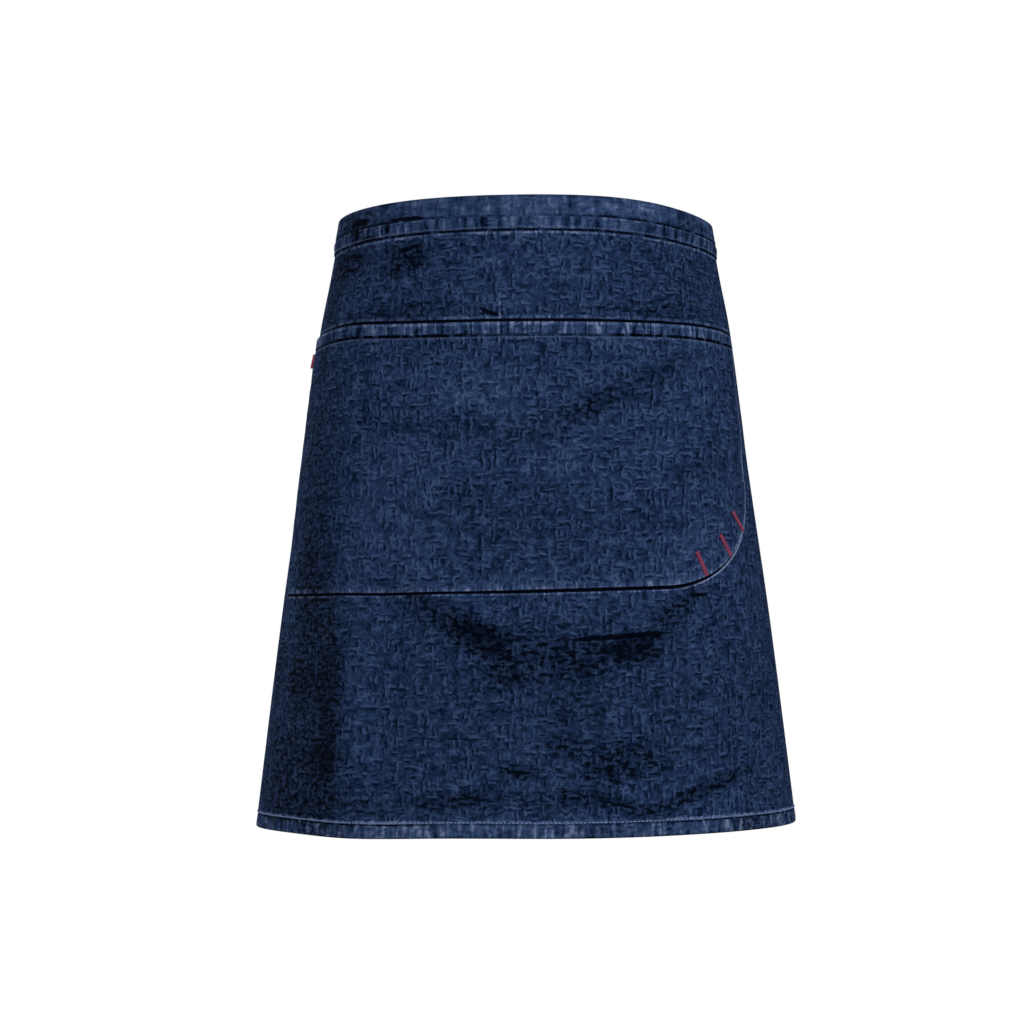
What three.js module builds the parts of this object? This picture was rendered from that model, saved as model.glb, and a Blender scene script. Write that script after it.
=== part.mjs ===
// Short denim bar apron in the form it takes on a wearer, from the waist to above the knee.
// Millimetres, +Z up, the front faces -Y. The origin is the middle of the waist ring, at half the
// waistband's height. A place on the cloth is given by across, the distance along the cloth from
// centre front (positive to the viewer's right), by height, and by lift, the distance out from the
// outer face of the body panel.
import * as THREE from 'three';

// Driving dimensions
const APRON_LENGTH = 500;
const PANEL_WIDTH = 700;
const WAISTBAND_HEIGHT = 28;
const YOKE_HEIGHT = 74;
const POCKET_WIDTH = 432;
const POCKET_DEPTH = 211;
const POCKET_RISE = 4;
const HEM_WIDTH = 12;
const MOUTH_HEM_WIDTH = 10;
const DENIM = 1.1;
const TURNED_HEM = 2.4;
const MOUTH_HEM = 1.9;
const WAISTBAND_LAYER = 1.3;
const GAP = 0.35;
const SLOT_GAP = 0.5;
const POCKET_CLEARANCE = 1.0;
const MOUTH_GAPE = 1.4;
const MOUTH_GAPE_DEPTH = 22;
const CORNER_WIDTH = 90;
const CORNER_HEIGHT = 80;
const CORNER_FULLNESS = 1.9;
const TACK_LENGTH = 21;
const TACK_WIDTH = 4.2;
const TACK_THICKNESS = 0.9;
const TACK_INSET = 0.4;
const TAG_HEIGHT = 12;
const TAG_LENGTH = 4;
const TAG_THICKNESS = 1.2;
const TAG_DROP = 16.5;
const TAG_LEAN = 45;
const TIE_WIDTH = 24;
const TIE_THICKNESS = 1.8;
const TIE_LAP = 32;

// Heights of the main lines at centre front
const WAIST_TOP = WAISTBAND_HEIGHT / 2;
const WAISTBAND_BOTTOM = WAIST_TOP - WAISTBAND_HEIGHT;
const WAISTBAND_MIDDLE = 0;
const POCKET_MOUTH = WAISTBAND_BOTTOM - YOKE_HEIGHT;
const POCKET_BOTTOM = POCKET_MOUTH - POCKET_DEPTH;
const HEM = WAIST_TOP - APRON_LENGTH;
const PANEL_TOP = WAIST_TOP - WAISTBAND_LAYER - 2 * SLOT_GAP;
const PANEL_EDGE = PANEL_WIDTH / 2;
const POCKET_EDGE = POCKET_WIDTH / 2;

// Level sections of the panel's outer face, from the waist down. A section is a superellipse. The
// two rises lift or drop the cloth at the viewer's left and right sides against centre front, and
// they grow by a power of the sine.
const SECTIONS = [
  { height: 14, halfWidth: 152.5, halfDepth: 113, squareness: 2.0, leftRise: -3.5, rightRise: -10, power: 6 },
  { height: -30, halfWidth: 160, halfDepth: 118, squareness: 2.1, leftRise: -5.5, rightRise: -8.5, power: 5 },
  { height: -85, halfWidth: 169.0, halfDepth: 123, squareness: 2.3, leftRise: -3, rightRise: -2, power: 8 },
  { height: -200, halfWidth: 183.0, halfDepth: 132, squareness: 2.4, leftRise: 0, rightRise: 2, power: 3 },
  { height: -320, halfWidth: 199.5, halfDepth: 141, squareness: 2.3, leftRise: 1, rightRise: 5, power: 3 },
  { height: -486, halfWidth: 220.0, halfDepth: 154, squareness: 2.2, leftRise: 0, rightRise: 5, power: 3 },
];

// Folds of the cloth: the middle of the fold's ridge, the slope of its line in degrees, its half
// length, its half widths above and below the ridge (left and right of an upright one), and how far
// the ridge stands out between its two hollows.
const FOLDS = [
  { name: 'pocket slant', across: 98, height: -125, slope: 26, length: 55, above: 24, below: 18, depth: 2.6 },
  { name: 'droop', across: -40, height: -157, slope: -7, length: 52, above: 24, below: 18, depth: 1.6 },
  { name: 'pocket side', across: 150, height: -189, slope: 16, length: 45, above: 20, below: 18, depth: 1.8 },
  { name: 'swag left', across: -38, height: -312, slope: -23, length: 38, above: 20, below: 14, depth: 2.8 },
  { name: 'swag right', across: 120, height: -317, slope: 35, length: 28, above: 20, below: 14, depth: 1.8 },
  { name: 'sharp crease', across: 88, height: -328, slope: 4, length: 36, above: 18, below: 10, depth: 3.4 },
  { name: 'left side', across: -128, height: -385, slope: 90, length: 70, above: 30, below: 20, depth: 5.5 },
  { name: 'low middle', across: 102, height: -414, slope: 0, length: 34, above: 16, below: 12, depth: 2.8 },
  { name: 'low dip', across: 82, height: -449, slope: -14, length: 28, above: 10, below: 8, depth: 1.8 },
  { name: 'low rise', across: 156, height: -445, slope: 18, length: 32, above: 13, below: 9, depth: 2.4 },
  { name: 'low left', across: -28, height: -447, slope: 5, length: 30, above: 13, below: 9, depth: 1.5 },
];

// Bar tacks round the pocket's corner, in degrees: the turn round the corner from its upper end, and
// the lean of the bar from upright
const TACKS = [
  { name: 'bar_tack_1', turn: 67, lean: 25 },
  { name: 'bar_tack_2', turn: 47.5, lean: 34.5 },
  { name: 'bar_tack_3', turn: 29, lean: 43 },
];

// Grid of the cloth
const POCKET_COLUMNS = 30;
const FLANK_COLUMNS = 10;
const LOWER_ROWS = 14;
const POCKET_ROWS = 10;
const YOKE_ROWS = 4;
const TIE_COLUMNS = 18;
const HEM_STEP = 1;

const COLOURS = { denim: 0x21304f, band: 0x2a3c5c, thread: 0xa8243c, ribbon: 0xb01c30, tie: 0x24344f };

// Smooth value of one column of the section table at a height
function sectionValue(column, height) {
  const last = SECTIONS.length - 1;
  const clamped = Math.min(SECTIONS[0].height, Math.max(SECTIONS[last].height, height));
  let upper = 0;
  while (upper < last - 1 && SECTIONS[upper + 1].height > clamped) upper += 1;
  const slopeAt = (index) => {
    const before = SECTIONS[Math.max(0, index - 1)];
    const after = SECTIONS[Math.min(last, index + 1)];
    return (after[column] - before[column]) / (after.height - before.height);
  };
  const start = SECTIONS[upper];
  const end = SECTIONS[upper + 1];
  const span = end.height - start.height;
  const t = (clamped - start.height) / span;
  const rise = end[column] - start[column];
  const startPull = slopeAt(upper) * span - rise;
  const endPull = rise - slopeAt(upper + 1) * span;
  return start[column] + t * rise + t * (1 - t) * ((1 - t) * startPull + t * endPull);
}

function sectionAt(height) {
  const values = {};
  for (const column of ['halfWidth', 'halfDepth', 'squareness', 'leftRise', 'rightRise', 'power']) {
    values[column] = sectionValue(column, height);
  }
  return values;
}

function sectionRadius(section, angle) {
  const sideways = Math.abs(Math.sin(angle)) / section.halfWidth;
  const forward = Math.abs(Math.cos(angle)) / section.halfDepth;
  const power = section.squareness;
  return (sideways ** power + forward ** power) ** (-1 / power);
}

// Angle round from centre front at which the cloth has run a distance along the section
function angleAlong(section, across) {
  const step = Math.PI / 360;
  const end = Math.abs(across);
  let angle = 0;
  let run = 0;
  let radius = sectionRadius(section, 0);
  for (;;) {
    const nextRadius = sectionRadius(section, angle + step);
    const chord = Math.hypot(nextRadius * Math.sin(step), nextRadius * Math.cos(step) - radius);
    if (run + chord >= end) return Math.sign(across) * (angle + (step * (end - run)) / chord);
    run += chord;
    angle += step;
    radius = nextRadius;
  }
}

// Lift or drop at an angle: none at centre front, full at the sides, blended round the back
function sideRise(section, angle) {
  const turn = Math.abs(angle);
  const own = angle < 0 ? section.leftRise : section.rightRise;
  const other = angle < 0 ? section.rightRise : section.leftRise;
  if (turn <= Math.PI / 2) return own * Math.sin(turn) ** section.power;
  return own + (other - own) * THREE.MathUtils.smoothstep(turn, Math.PI / 2, 1.5 * Math.PI);
}

function bodyPoint(across, height) {
  const section = sectionAt(height);
  const angle = angleAlong(section, across);
  const radius = sectionRadius(section, angle);
  const level = height + sideRise(section, angle);
  return new THREE.Vector3(radius * Math.sin(angle), -radius * Math.cos(angle), level);
}

function foldLift(across, height) {
  let lift = 0;
  for (const fold of FOLDS) {
    const slope = THREE.MathUtils.degToRad(fold.slope);
    const right = across - fold.across;
    const up = height - fold.height;
    const along = (right * Math.cos(slope) + up * Math.sin(slope)) / fold.length;
    const side = up * Math.cos(slope) - right * Math.sin(slope);
    const off = side / (side > 0 ? fold.above : fold.below);
    lift += fold.depth * (1 - off * off) * Math.exp(-(off * off + along * along) / 2);
  }
  return lift;
}

// A place on the cloth as a point in space
function clothPoint(across, height, lift) {
  const reach = 1;
  const sideways = bodyPoint(across + reach, height).sub(bodyPoint(across - reach, height));
  const upward = bodyPoint(across, height + reach).sub(bodyPoint(across, height - reach));
  const outward = sideways.cross(upward).normalize();
  return bodyPoint(across, height).addScaledVector(outward, lift + foldLift(across, height));
}

function evenLines(start, end, count) {
  return Array.from({ length: count + 1 }, (_, index) => start + ((end - start) * index) / count);
}

function bend(geometry, place) {
  const position = geometry.attributes.position;
  for (let index = 0; index < position.count; index += 1) {
    const point = place(position.getX(index), position.getY(index), position.getZ(index));
    position.setXYZ(index, point.x, point.y, point.z);
  }
  geometry.computeVertexNormals();
  return geometry;
}

// A sheet of cloth: a thin box on a grid of columns and rows, bent to its place
function clothSheet(columns, rows, place) {
  const box = new THREE.BoxGeometry(1, 1, 1, columns.length - 1, rows.length - 1, 1);
  const pick = (list, share) => list[Math.round((share + 0.5) * (list.length - 1))];
  return bend(box, (x, y, z) => place(pick(columns, x), pick(rows, y), z > 0));
}

function piece(name, geometry, colour, roughness) {
  const material = new THREE.MeshStandardMaterial({ color: colour, roughness, metalness: 0 });
  const mesh = new THREE.Mesh(geometry, material);
  mesh.name = name;
  return mesh;
}

const sideHem = PANEL_EDGE - HEM_WIDTH;
const pocketRows = evenLines(POCKET_BOTTOM, POCKET_MOUTH - MOUTH_HEM_WIDTH - HEM_STEP, POCKET_ROWS);
const pocketColumns = evenLines(-POCKET_EDGE, POCKET_EDGE, POCKET_COLUMNS);
const flankColumns = evenLines(POCKET_EDGE, sideHem - HEM_STEP, FLANK_COLUMNS).slice(1);
const rightColumns = [...flankColumns, sideHem, PANEL_EDGE];
const leftColumns = rightColumns.map((across) => -across).reverse();
const panelColumns = [...leftColumns, ...pocketColumns, ...rightColumns];

// The panel's wall grows inwards where its bottom and side edges are turned
function makeBodyPanel() {
  const hemTop = HEM + HEM_WIDTH;
  const lowerRows = evenLines(hemTop + HEM_STEP, POCKET_BOTTOM, LOWER_ROWS).slice(0, -1);
  const yokeRows = evenLines(POCKET_MOUTH, WAISTBAND_BOTTOM - 2 * HEM_STEP, YOKE_ROWS);
  const bandRows = [WAISTBAND_BOTTOM, WAISTBAND_MIDDLE, PANEL_TOP];
  const rows = [HEM, hemTop, ...lowerRows, ...pocketRows, ...yokeRows, ...bandRows];
  const geometry = clothSheet(panelColumns, rows, (across, height, outer) => {
    const turnedBottom = height <= hemTop;
    const turnedSide = Math.abs(across) >= sideHem && height < WAISTBAND_BOTTOM;
    const wall = turnedBottom || turnedSide ? TURNED_HEM : DENIM;
    return clothPoint(across, height, outer ? 0 : -wall);
  });
  return piece('body_panel', geometry, COLOURS.denim, 0.92);
}

// The waistband is one strip folded over the panel's top edge: an outer leg, the fold, an inner leg
function makeWaistband() {
  const outerFace = SLOT_GAP + WAISTBAND_LAYER;
  const innerSlot = -DENIM - SLOT_GAP;
  const innerFace = innerSlot - WAISTBAND_LAYER;
  const slotTop = WAIST_TOP - WAISTBAND_LAYER;
  const innerBottom = WAISTBAND_BOTTOM + 2;
  const profile = new THREE.Shape();
  profile.moveTo(SLOT_GAP, WAISTBAND_BOTTOM);
  profile.lineTo(outerFace, WAISTBAND_BOTTOM);
  profile.lineTo(outerFace, WAISTBAND_MIDDLE);
  profile.lineTo(outerFace, slotTop);
  profile.lineTo(SLOT_GAP, WAIST_TOP);
  profile.lineTo(innerSlot, WAIST_TOP);
  profile.lineTo(innerFace, slotTop);
  profile.lineTo(innerFace, WAISTBAND_MIDDLE);
  profile.lineTo(innerFace, innerBottom);
  profile.lineTo(innerSlot, innerBottom);
  profile.lineTo(innerSlot, WAISTBAND_MIDDLE);
  profile.lineTo(innerSlot, slotTop);
  profile.lineTo(SLOT_GAP, slotTop);
  profile.lineTo(SLOT_GAP, WAISTBAND_MIDDLE);
  profile.closePath();
  const steps = panelColumns.length - 1;
  const strip = new THREE.ExtrudeGeometry(profile, { steps, depth: steps, bevelEnabled: false });
  const geometry = bend(strip, (lift, height, column) => (
    clothPoint(panelColumns[steps - Math.round(column)], height, lift)
  ));
  return piece('waistband', geometry, COLOURS.band, 0.9);
}

// Bottom edge of the pocket: it rises a little to the viewer's right, to a rounded corner
function pocketBottomAt(across) {
  const cornerStart = POCKET_EDGE - CORNER_WIDTH;
  const level = POCKET_BOTTOM + POCKET_RISE * THREE.MathUtils.smoothstep(across, -cornerStart, cornerStart);
  const into = Math.max(0, across - cornerStart) / CORNER_WIDTH;
  const drop = Math.max(0, 1 - into ** CORNER_FULLNESS) ** (1 / CORNER_FULLNESS);
  return level + CORNER_HEIGHT * (1 - drop);
}

function pocketInnerLift(across, height) {
  const below = POCKET_MOUTH - height;
  const middle = 1 - (across / POCKET_EDGE) ** 2;
  return POCKET_CLEARANCE + MOUTH_GAPE * middle * Math.exp(-((below / MOUTH_GAPE_DEPTH) ** 2));
}

function pocketOuterLift(across, height) {
  const hemmed = height >= POCKET_MOUTH - MOUTH_HEM_WIDTH;
  return pocketInnerLift(across, height) + (hemmed ? MOUTH_HEM : DENIM);
}

// Rows close up towards the rounded corner, below the row where the corner begins
function makePocket() {
  const cornerTop = POCKET_BOTTOM + POCKET_RISE + CORNER_HEIGHT;
  const firstMoved = pocketRows.findIndex((height) => height > cornerTop);
  const keptRow = pocketRows[firstMoved];
  const rows = [...pocketRows, POCKET_MOUTH - MOUTH_HEM_WIDTH, POCKET_MOUTH];
  const geometry = clothSheet(pocketColumns, rows, (across, row, outer) => {
    const share = Math.max(0, (keptRow - row) / (keptRow - POCKET_BOTTOM));
    const height = share > 0 ? keptRow - share * (keptRow - pocketBottomAt(across)) : row;
    const lift = outer ? pocketOuterLift : pocketInnerLift;
    return clothPoint(across, height, lift(across, height));
  });
  return piece('pocket', geometry, COLOURS.denim, 0.92);
}

// A bar tack starts at the edge of the rounded corner and runs in from it
function makeBarTack(tack) {
  const turn = THREE.MathUtils.degToRad(tack.turn);
  const lean = THREE.MathUtils.degToRad(tack.lean);
  const right = Math.cos(turn) ** (2 / CORNER_FULLNESS);
  const edgeAcross = POCKET_EDGE - CORNER_WIDTH * (1 - right);
  const edge = new THREE.Vector2(edgeAcross, pocketBottomAt(edgeAcross));
  const inward = new THREE.Vector2(-Math.sin(lean), Math.cos(lean));
  const sideways = new THREE.Vector2(-inward.y, inward.x);
  const bar = new THREE.BoxGeometry(1, 1, 1, 5, 4, 1);
  const geometry = bend(bar, (x, y, z) => {
    const along = TACK_INSET + (x + 0.5) * TACK_LENGTH;
    const place = edge.clone().addScaledVector(inward, along).addScaledVector(sideways, y * TACK_WIDTH);
    const crown = TACK_THICKNESS * (1 - 2 * y * y);
    const lift = pocketOuterLift(place.x, place.y) + GAP + (z > 0 ? crown : 0);
    return clothPoint(place.x, place.y, lift);
  });
  return piece(tack.name, geometry, COLOURS.thread, 0.6);
}

// The tag is a short ribbon that stands out from the pocket's left edge, leaning away from it
function makeSideTag() {
  const lean = THREE.MathUtils.degToRad(TAG_LEAN);
  const middle = POCKET_MOUTH - TAG_DROP;
  const root = { across: -POCKET_EDGE - TAG_THICKNESS, lift: GAP + TAG_THICKNESS / 2 };
  const ribbon = new THREE.BoxGeometry(1, 1, 1, 3, 2, 1);
  const geometry = bend(ribbon, (x, y, z) => {
    const along = (x + 0.5) * TAG_LENGTH;
    const off = z * TAG_THICKNESS;
    const across = root.across - along * Math.cos(lean) - off * Math.sin(lean);
    const lift = root.lift + along * Math.sin(lean) - off * Math.cos(lean);
    return clothPoint(across, middle + y * TAG_HEIGHT, lift);
  });
  return piece('side_tag', geometry, COLOURS.ribbon, 0.7);
}

// The tie laps behind both ends of the waistband and takes the plain way round the back
function makeWaistTie() {
  const wholeTurn = waistRound();
  const outerFace = -DENIM - WAISTBAND_LAYER - SLOT_GAP - 2 * GAP;
  const columns = evenLines(PANEL_EDGE - TIE_LAP, wholeTurn - PANEL_EDGE + TIE_LAP, TIE_COLUMNS);
  const rows = evenLines(-TIE_WIDTH / 2, TIE_WIDTH / 2, 2);
  const geometry = clothSheet(columns, rows, (across, height, outer) => (
    clothPoint(across, height, outer ? outerFace : outerFace - TIE_THICKNESS)
  ));
  return piece('waist_tie', geometry, COLOURS.tie, 0.9);
}

// Length once round the form at the waist
function waistRound() {
  const section = sectionAt(0);
  const turns = evenLines(0, 2 * Math.PI, 720);
  const points = turns.map((angle) => {
    const radius = sectionRadius(section, angle);
    return new THREE.Vector2(radius * Math.sin(angle), -radius * Math.cos(angle));
  });
  return points.slice(1).reduce((sum, point, index) => sum + point.distanceTo(points[index]), 0);
}

const apron = new THREE.Group();
apron.add(makeBodyPanel(), makeWaistband(), makePocket());
apron.add(...TACKS.map(makeBarTack), makeSideTag(), makeWaistTie());

export default apron;
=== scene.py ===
import math
from typing import NamedTuple

import bpy
import numpy as np
from bpy.props import FloatProperty, FloatVectorProperty, PointerProperty
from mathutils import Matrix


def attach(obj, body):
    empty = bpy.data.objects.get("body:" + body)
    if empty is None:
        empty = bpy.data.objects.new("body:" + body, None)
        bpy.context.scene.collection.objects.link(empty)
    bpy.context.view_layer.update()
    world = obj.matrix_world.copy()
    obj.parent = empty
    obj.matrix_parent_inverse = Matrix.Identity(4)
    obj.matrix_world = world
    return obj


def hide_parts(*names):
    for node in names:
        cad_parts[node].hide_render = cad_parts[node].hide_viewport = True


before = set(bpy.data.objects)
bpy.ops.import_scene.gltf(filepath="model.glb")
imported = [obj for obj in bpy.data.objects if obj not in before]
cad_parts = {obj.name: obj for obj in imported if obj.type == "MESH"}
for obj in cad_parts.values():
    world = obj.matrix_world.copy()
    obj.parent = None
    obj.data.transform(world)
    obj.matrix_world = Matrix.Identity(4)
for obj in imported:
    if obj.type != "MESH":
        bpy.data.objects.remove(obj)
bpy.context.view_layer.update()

bl_info = {
    "name": "Denim bar apron",
    "version": (1, 0, 0),
    "blender": (4, 5, 0),
    "location": "View3D > Sidebar > Apron",
    "description": "Dresses the bar apron with worn denim, stitches, tacks, a tag and a tie",
    "category": "Object",
}

BODY = "root"
CLOTH_MAP = "cloth"
PICTURE_SIDE = 1024
SENSOR_WIDTH = 36.0
TO_MM = 1000.0


# A place on the cloth is given by across, the distance along the cloth from centre front (positive to
# the viewer's right), by height, and by lift, the distance out from the panel's outer face.
class Section(NamedTuple):
    """A level section: a superellipse, and the cloth's rise at its sides by a power of the sine."""
    height: float
    half_width: float
    half_depth: float
    squareness: float
    left_rise: float
    right_rise: float
    rise_power: float


SECTIONS = (
    Section(-0.486, 0.2200, 0.154, 2.2, 0.0, 0.005, 3),
    Section(-0.320, 0.1995, 0.141, 2.3, 0.001, 0.005, 3),
    Section(-0.200, 0.1830, 0.132, 2.4, 0.0, 0.002, 3),
    Section(-0.085, 0.1690, 0.123, 2.3, -0.003, -0.002, 8),
    Section(-0.030, 0.1600, 0.118, 2.1, -0.0055, -0.0085, 5),
    Section(0.014, 0.1525, 0.113, 2.0, -0.0035, -0.010, 6),
)


class Fold(NamedTuple):
    """A fold: the middle of its ridge, the slope of its line, its half length, widths and depth."""
    name: str
    across: float
    height: float
    slope: float
    length: float
    above: float
    below: float
    depth: float


FOLDS = (
    Fold("pocket slant", 0.098, -0.126, 26, 0.055, 0.024, 0.013, 0.0032),
    Fold("pocket droop", -0.040, -0.158, -7, 0.052, 0.024, 0.014, 0.0018),
    Fold("pocket side", 0.150, -0.190, 16, 0.045, 0.018, 0.013, 0.0022),
    Fold("swag left", -0.038, -0.312, -23, 0.038, 0.016, 0.010, 0.0034),
    Fold("swag right", 0.120, -0.317, 35, 0.028, 0.015, 0.010, 0.0022),
    Fold("sharp crease", 0.088, -0.3285, 4, 0.036, 0.014, 0.006, 0.0040),
    Fold("left upright", -0.128, -0.385, 90, 0.070, 0.030, 0.020, 0.0055),
    Fold("low middle", 0.102, -0.414, 0, 0.034, 0.016, 0.012, 0.0028),
    Fold("low right dip", 0.082, -0.449, -14, 0.028, 0.010, 0.006, 0.0018),
    Fold("low right rise", 0.156, -0.445, 18, 0.032, 0.012, 0.007, 0.0024),
    Fold("low left", -0.028, -0.447, 5, 0.030, 0.012, 0.008, 0.0015),
)


class Drift(NamedTuple):
    """A place where the cloth hangs higher or lower than its level: its middle, half sizes and lift."""
    name: str
    across: float
    height: float
    length: float
    above: float
    below: float
    lift: float


DRIFTS = (
    Drift("mouth left", -0.138, -0.088, 0.030, 0.025, 0.055, 0.0028),
    Drift("hem left", -0.122, -0.486, 0.042, 0.045, 0.045, -0.0023),
)


class DyeAndShade(NamedTuple):
    """A patch of darker cloth (below zero) or lighter cloth (above zero): partly uneven dye, partly painted
    shade in the fold hollows and painted light on the lit folds.
    """
    name: str
    across: float
    height: float
    slope: float
    length: float
    width: float
    tone: float


# Patches of uneven dye, with painted shade in the fold hollows and painted light on the lit folds.
DYE_AND_SHADE_PATCHES = (
    DyeAndShade("waistband left", -0.137, 0.004, 0, 0.024, 0.007, -0.8),
    DyeAndShade("waistband low left", -0.142, -0.007, 0, 0.010, 0.005, -0.7),
    DyeAndShade("waistband right", 0.150, 0.005, 0, 0.012, 0.008, -0.6),
    DyeAndShade("waistband high left", -0.104, 0.009, 0, 0.010, 0.005, 0.7),
    DyeAndShade("waistband centre left", -0.026, -0.006, 0, 0.010, 0.006, 0.25),
    DyeAndShade("waistband centre", 0.012, 0.000, 0, 0.013, 0.014, 0.6),
    DyeAndShade("waistband high right", 0.066, 0.007, 0, 0.020, 0.006, 0.4),
    DyeAndShade("waistband far right", 0.122, 0.009, 0, 0.012, 0.006, 0.6),
    DyeAndShade("yoke left", -0.084, -0.029, -5, 0.018, 0.007, -1.0),
    DyeAndShade("yoke left, low", -0.087, -0.041, 10, 0.014, 0.006, -1.0),
    DyeAndShade("yoke far left", -0.146, -0.030, 0, 0.020, 0.010, -0.9),
    DyeAndShade("yoke side", -0.168, -0.050, 85, 0.040, 0.012, -0.6),
    DyeAndShade("yoke right", 0.130, -0.050, 80, 0.040, 0.034, -0.35),
    DyeAndShade("above the mouth, left", -0.090, -0.078, 3, 0.040, 0.006, -0.7),
    DyeAndShade("above the mouth, right", 0.110, -0.076, 2, 0.060, 0.006, -0.5),
    DyeAndShade("mouth middle", 0.032, -0.092, 0, 0.008, 0.006, 0.6),
    DyeAndShade("mouth right", 0.085, -0.092, 0, 0.013, 0.006, 0.6),
    DyeAndShade("mouth far right", 0.152, -0.094, 0, 0.030, 0.006, 0.4),
    DyeAndShade("pocket slant", 0.098, -0.138, 26, 0.036, 0.008, -0.6),
    DyeAndShade("pocket slant foot", 0.048, -0.164, 30, 0.026, 0.010, -0.65),
    DyeAndShade("pocket foot light", 0.036, -0.187, 0, 0.022, 0.014, 0.35),
    DyeAndShade("pocket droop", -0.040, -0.172, -5, 0.060, 0.009, -0.45),
    DyeAndShade("pocket side", 0.158, -0.202, 12, 0.026, 0.007, -0.5),
    DyeAndShade("pocket left", -0.168, -0.212, 88, 0.080, 0.022, -0.6),
    DyeAndShade("pocket middle", 0.040, -0.243, 0, 0.070, 0.018, -0.3),
    DyeAndShade("pocket centre", -0.030, -0.224, 0, 0.014, 0.008, -0.6),
    DyeAndShade("pocket light", -0.025, -0.138, 0, 0.028, 0.014, 0.3),
    DyeAndShade("pocket left light", -0.085, -0.225, 80, 0.060, 0.035, 0.2),
    DyeAndShade("corner light", 0.150, -0.262, 40, 0.034, 0.016, 0.25),
    DyeAndShade("swag left", -0.054, -0.312, -22, 0.034, 0.008, -0.8),
    DyeAndShade("swag left, low", -0.057, -0.328, -20, 0.016, 0.008, -0.5),
    DyeAndShade("swag left foot", -0.020, -0.335, -25, 0.018, 0.009, -1.1),
    DyeAndShade("swag foot", -0.001, -0.364, 0, 0.014, 0.008, -0.7),
    DyeAndShade("swag bottom", 0.022, -0.346, -12, 0.040, 0.016, -0.65),
    DyeAndShade("swag right", 0.134, -0.314, 38, 0.020, 0.008, -0.8),
    DyeAndShade("crease hollow", 0.096, -0.341, 8, 0.016, 0.006, -1.5),
    DyeAndShade("crease hollow, low", 0.104, -0.348, 8, 0.012, 0.006, -1.2),
    DyeAndShade("crease side", 0.064, -0.351, 0, 0.020, 0.010, -0.5),
    DyeAndShade("left hollow", -0.168, -0.385, 90, 0.092, 0.027, -0.9),
    DyeAndShade("left hollow, edge", -0.145, -0.385, 90, 0.045, 0.009, -0.75),
    DyeAndShade("left hollow, high", -0.180, -0.367, 0, 0.018, 0.010, -0.6),
    DyeAndShade("left hollow, low", -0.156, -0.429, 0, 0.016, 0.010, -0.8),
    DyeAndShade("left hollow, hem", -0.165, -0.463, 0, 0.036, 0.009, -0.4),
    DyeAndShade("left edge", -0.226, -0.361, 90, 0.030, 0.012, -0.8),
    DyeAndShade("left edge, low", -0.218, -0.444, 90, 0.030, 0.017, -0.8),
    DyeAndShade("below the swag", 0.090, -0.372, 0, 0.120, 0.050, -0.3),
    DyeAndShade("below the swag, low", 0.054, -0.389, 0, 0.018, 0.010, -0.5),
    DyeAndShade("low middle", 0.091, -0.428, 0, 0.026, 0.011, -0.85),
    DyeAndShade("low middle spot", 0.078, -0.441, 0, 0.014, 0.006, -0.5),
    DyeAndShade("low right dip", 0.087, -0.461, -14, 0.032, 0.005, -0.85),
    DyeAndShade("low right rise", 0.158, -0.452, 18, 0.038, 0.005, -1.1),
    DyeAndShade("low far left", -0.112, -0.457, 0, 0.018, 0.008, -0.5),
    DyeAndShade("low left", -0.036, -0.458, 5, 0.030, 0.006, -0.9),
    DyeAndShade("low centre, high", 0.046, -0.415, 0, 0.012, 0.006, -0.8),
    DyeAndShade("low centre", 0.012, -0.436, -10, 0.014, 0.005, -1.0),
    DyeAndShade("low centre right", 0.035, -0.457, 0, 0.022, 0.007, -0.7),
    DyeAndShade("hem left", -0.090, -0.481, 0, 0.020, 0.006, 0.65),
    DyeAndShade("hem centre", 0.022, -0.482, 0, 0.012, 0.006, 0.5),
    DyeAndShade("hem middle", 0.085, -0.482, 0, 0.026, 0.006, -0.4),
    DyeAndShade("hem right", 0.212, -0.482, 0, 0.024, 0.007, -0.8),
)


class Crease(NamedTuple):
    """The painted shadow line of a sharp crease: its middle, slope, half length and half width."""
    name: str
    across: float
    height: float
    slope: float
    length: float
    width: float


# Painted shadow lines of the sharp creases.
CREASES = (
    Crease("waistband far left", -0.1375, 0.0018, 4, 0.014, 0.0030),
    Crease("waistband left", -0.087, -0.0015, -2, 0.020, 0.0016),
    Crease("waistband upright", -0.140, -0.0075, 90, 0.005, 0.0024),
    Crease("waistband next upright", -0.1035, -0.0075, 90, 0.004, 0.0020),
    Crease("waistband thin upright", -0.110, -0.0080, 90, 0.005, 0.0010),
    Crease("waistband edge", -0.1265, -0.0125, 0, 0.012, 0.0018),
    Crease("yoke left", -0.083, -0.0255, 14, 0.011, 0.0020),
    Crease("yoke far left", -0.141, -0.0245, -8, 0.011, 0.0018),
    Crease("yoke side", -0.146, -0.0355, -8, 0.011, 0.0018),
    Crease("above the mouth", -0.015, -0.0795, -22, 0.010, 0.0018),
    Crease("under the pocket", 0.088, -0.3333, 3, 0.046, 0.0021),
    Crease("under the corner", 0.154, -0.3025, 4, 0.011, 0.0015),
    Crease("level line", -0.047, -0.4105, -1, 0.040, 0.0004),
    Crease("low left", -0.030, -0.4555, 4, 0.008, 0.0009),
    Crease("low centre", 0.012, -0.4360, 0, 0.010, 0.0011),
    Crease("low right", 0.088, -0.4610, -14, 0.018, 0.0009),
)

# Widths of the first steps in from a free edge, for its rounded shape
EDGE_STEPS = (0.0, 0.0001, 0.0003, 0.0006, 0.001, 0.0016)
EDGE_REACH = EDGE_STEPS[-1]
LEAST_EDGE = 0.12
LEAST_STEP = 0.00005
WAVE_KNOTS = 512
NORMAL_REACH = 0.001


def number(name, description, default, **kind):
    """A property for a number, with its unit or subtype."""
    return FloatProperty(name=name, description=description, default=default, **kind)


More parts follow.
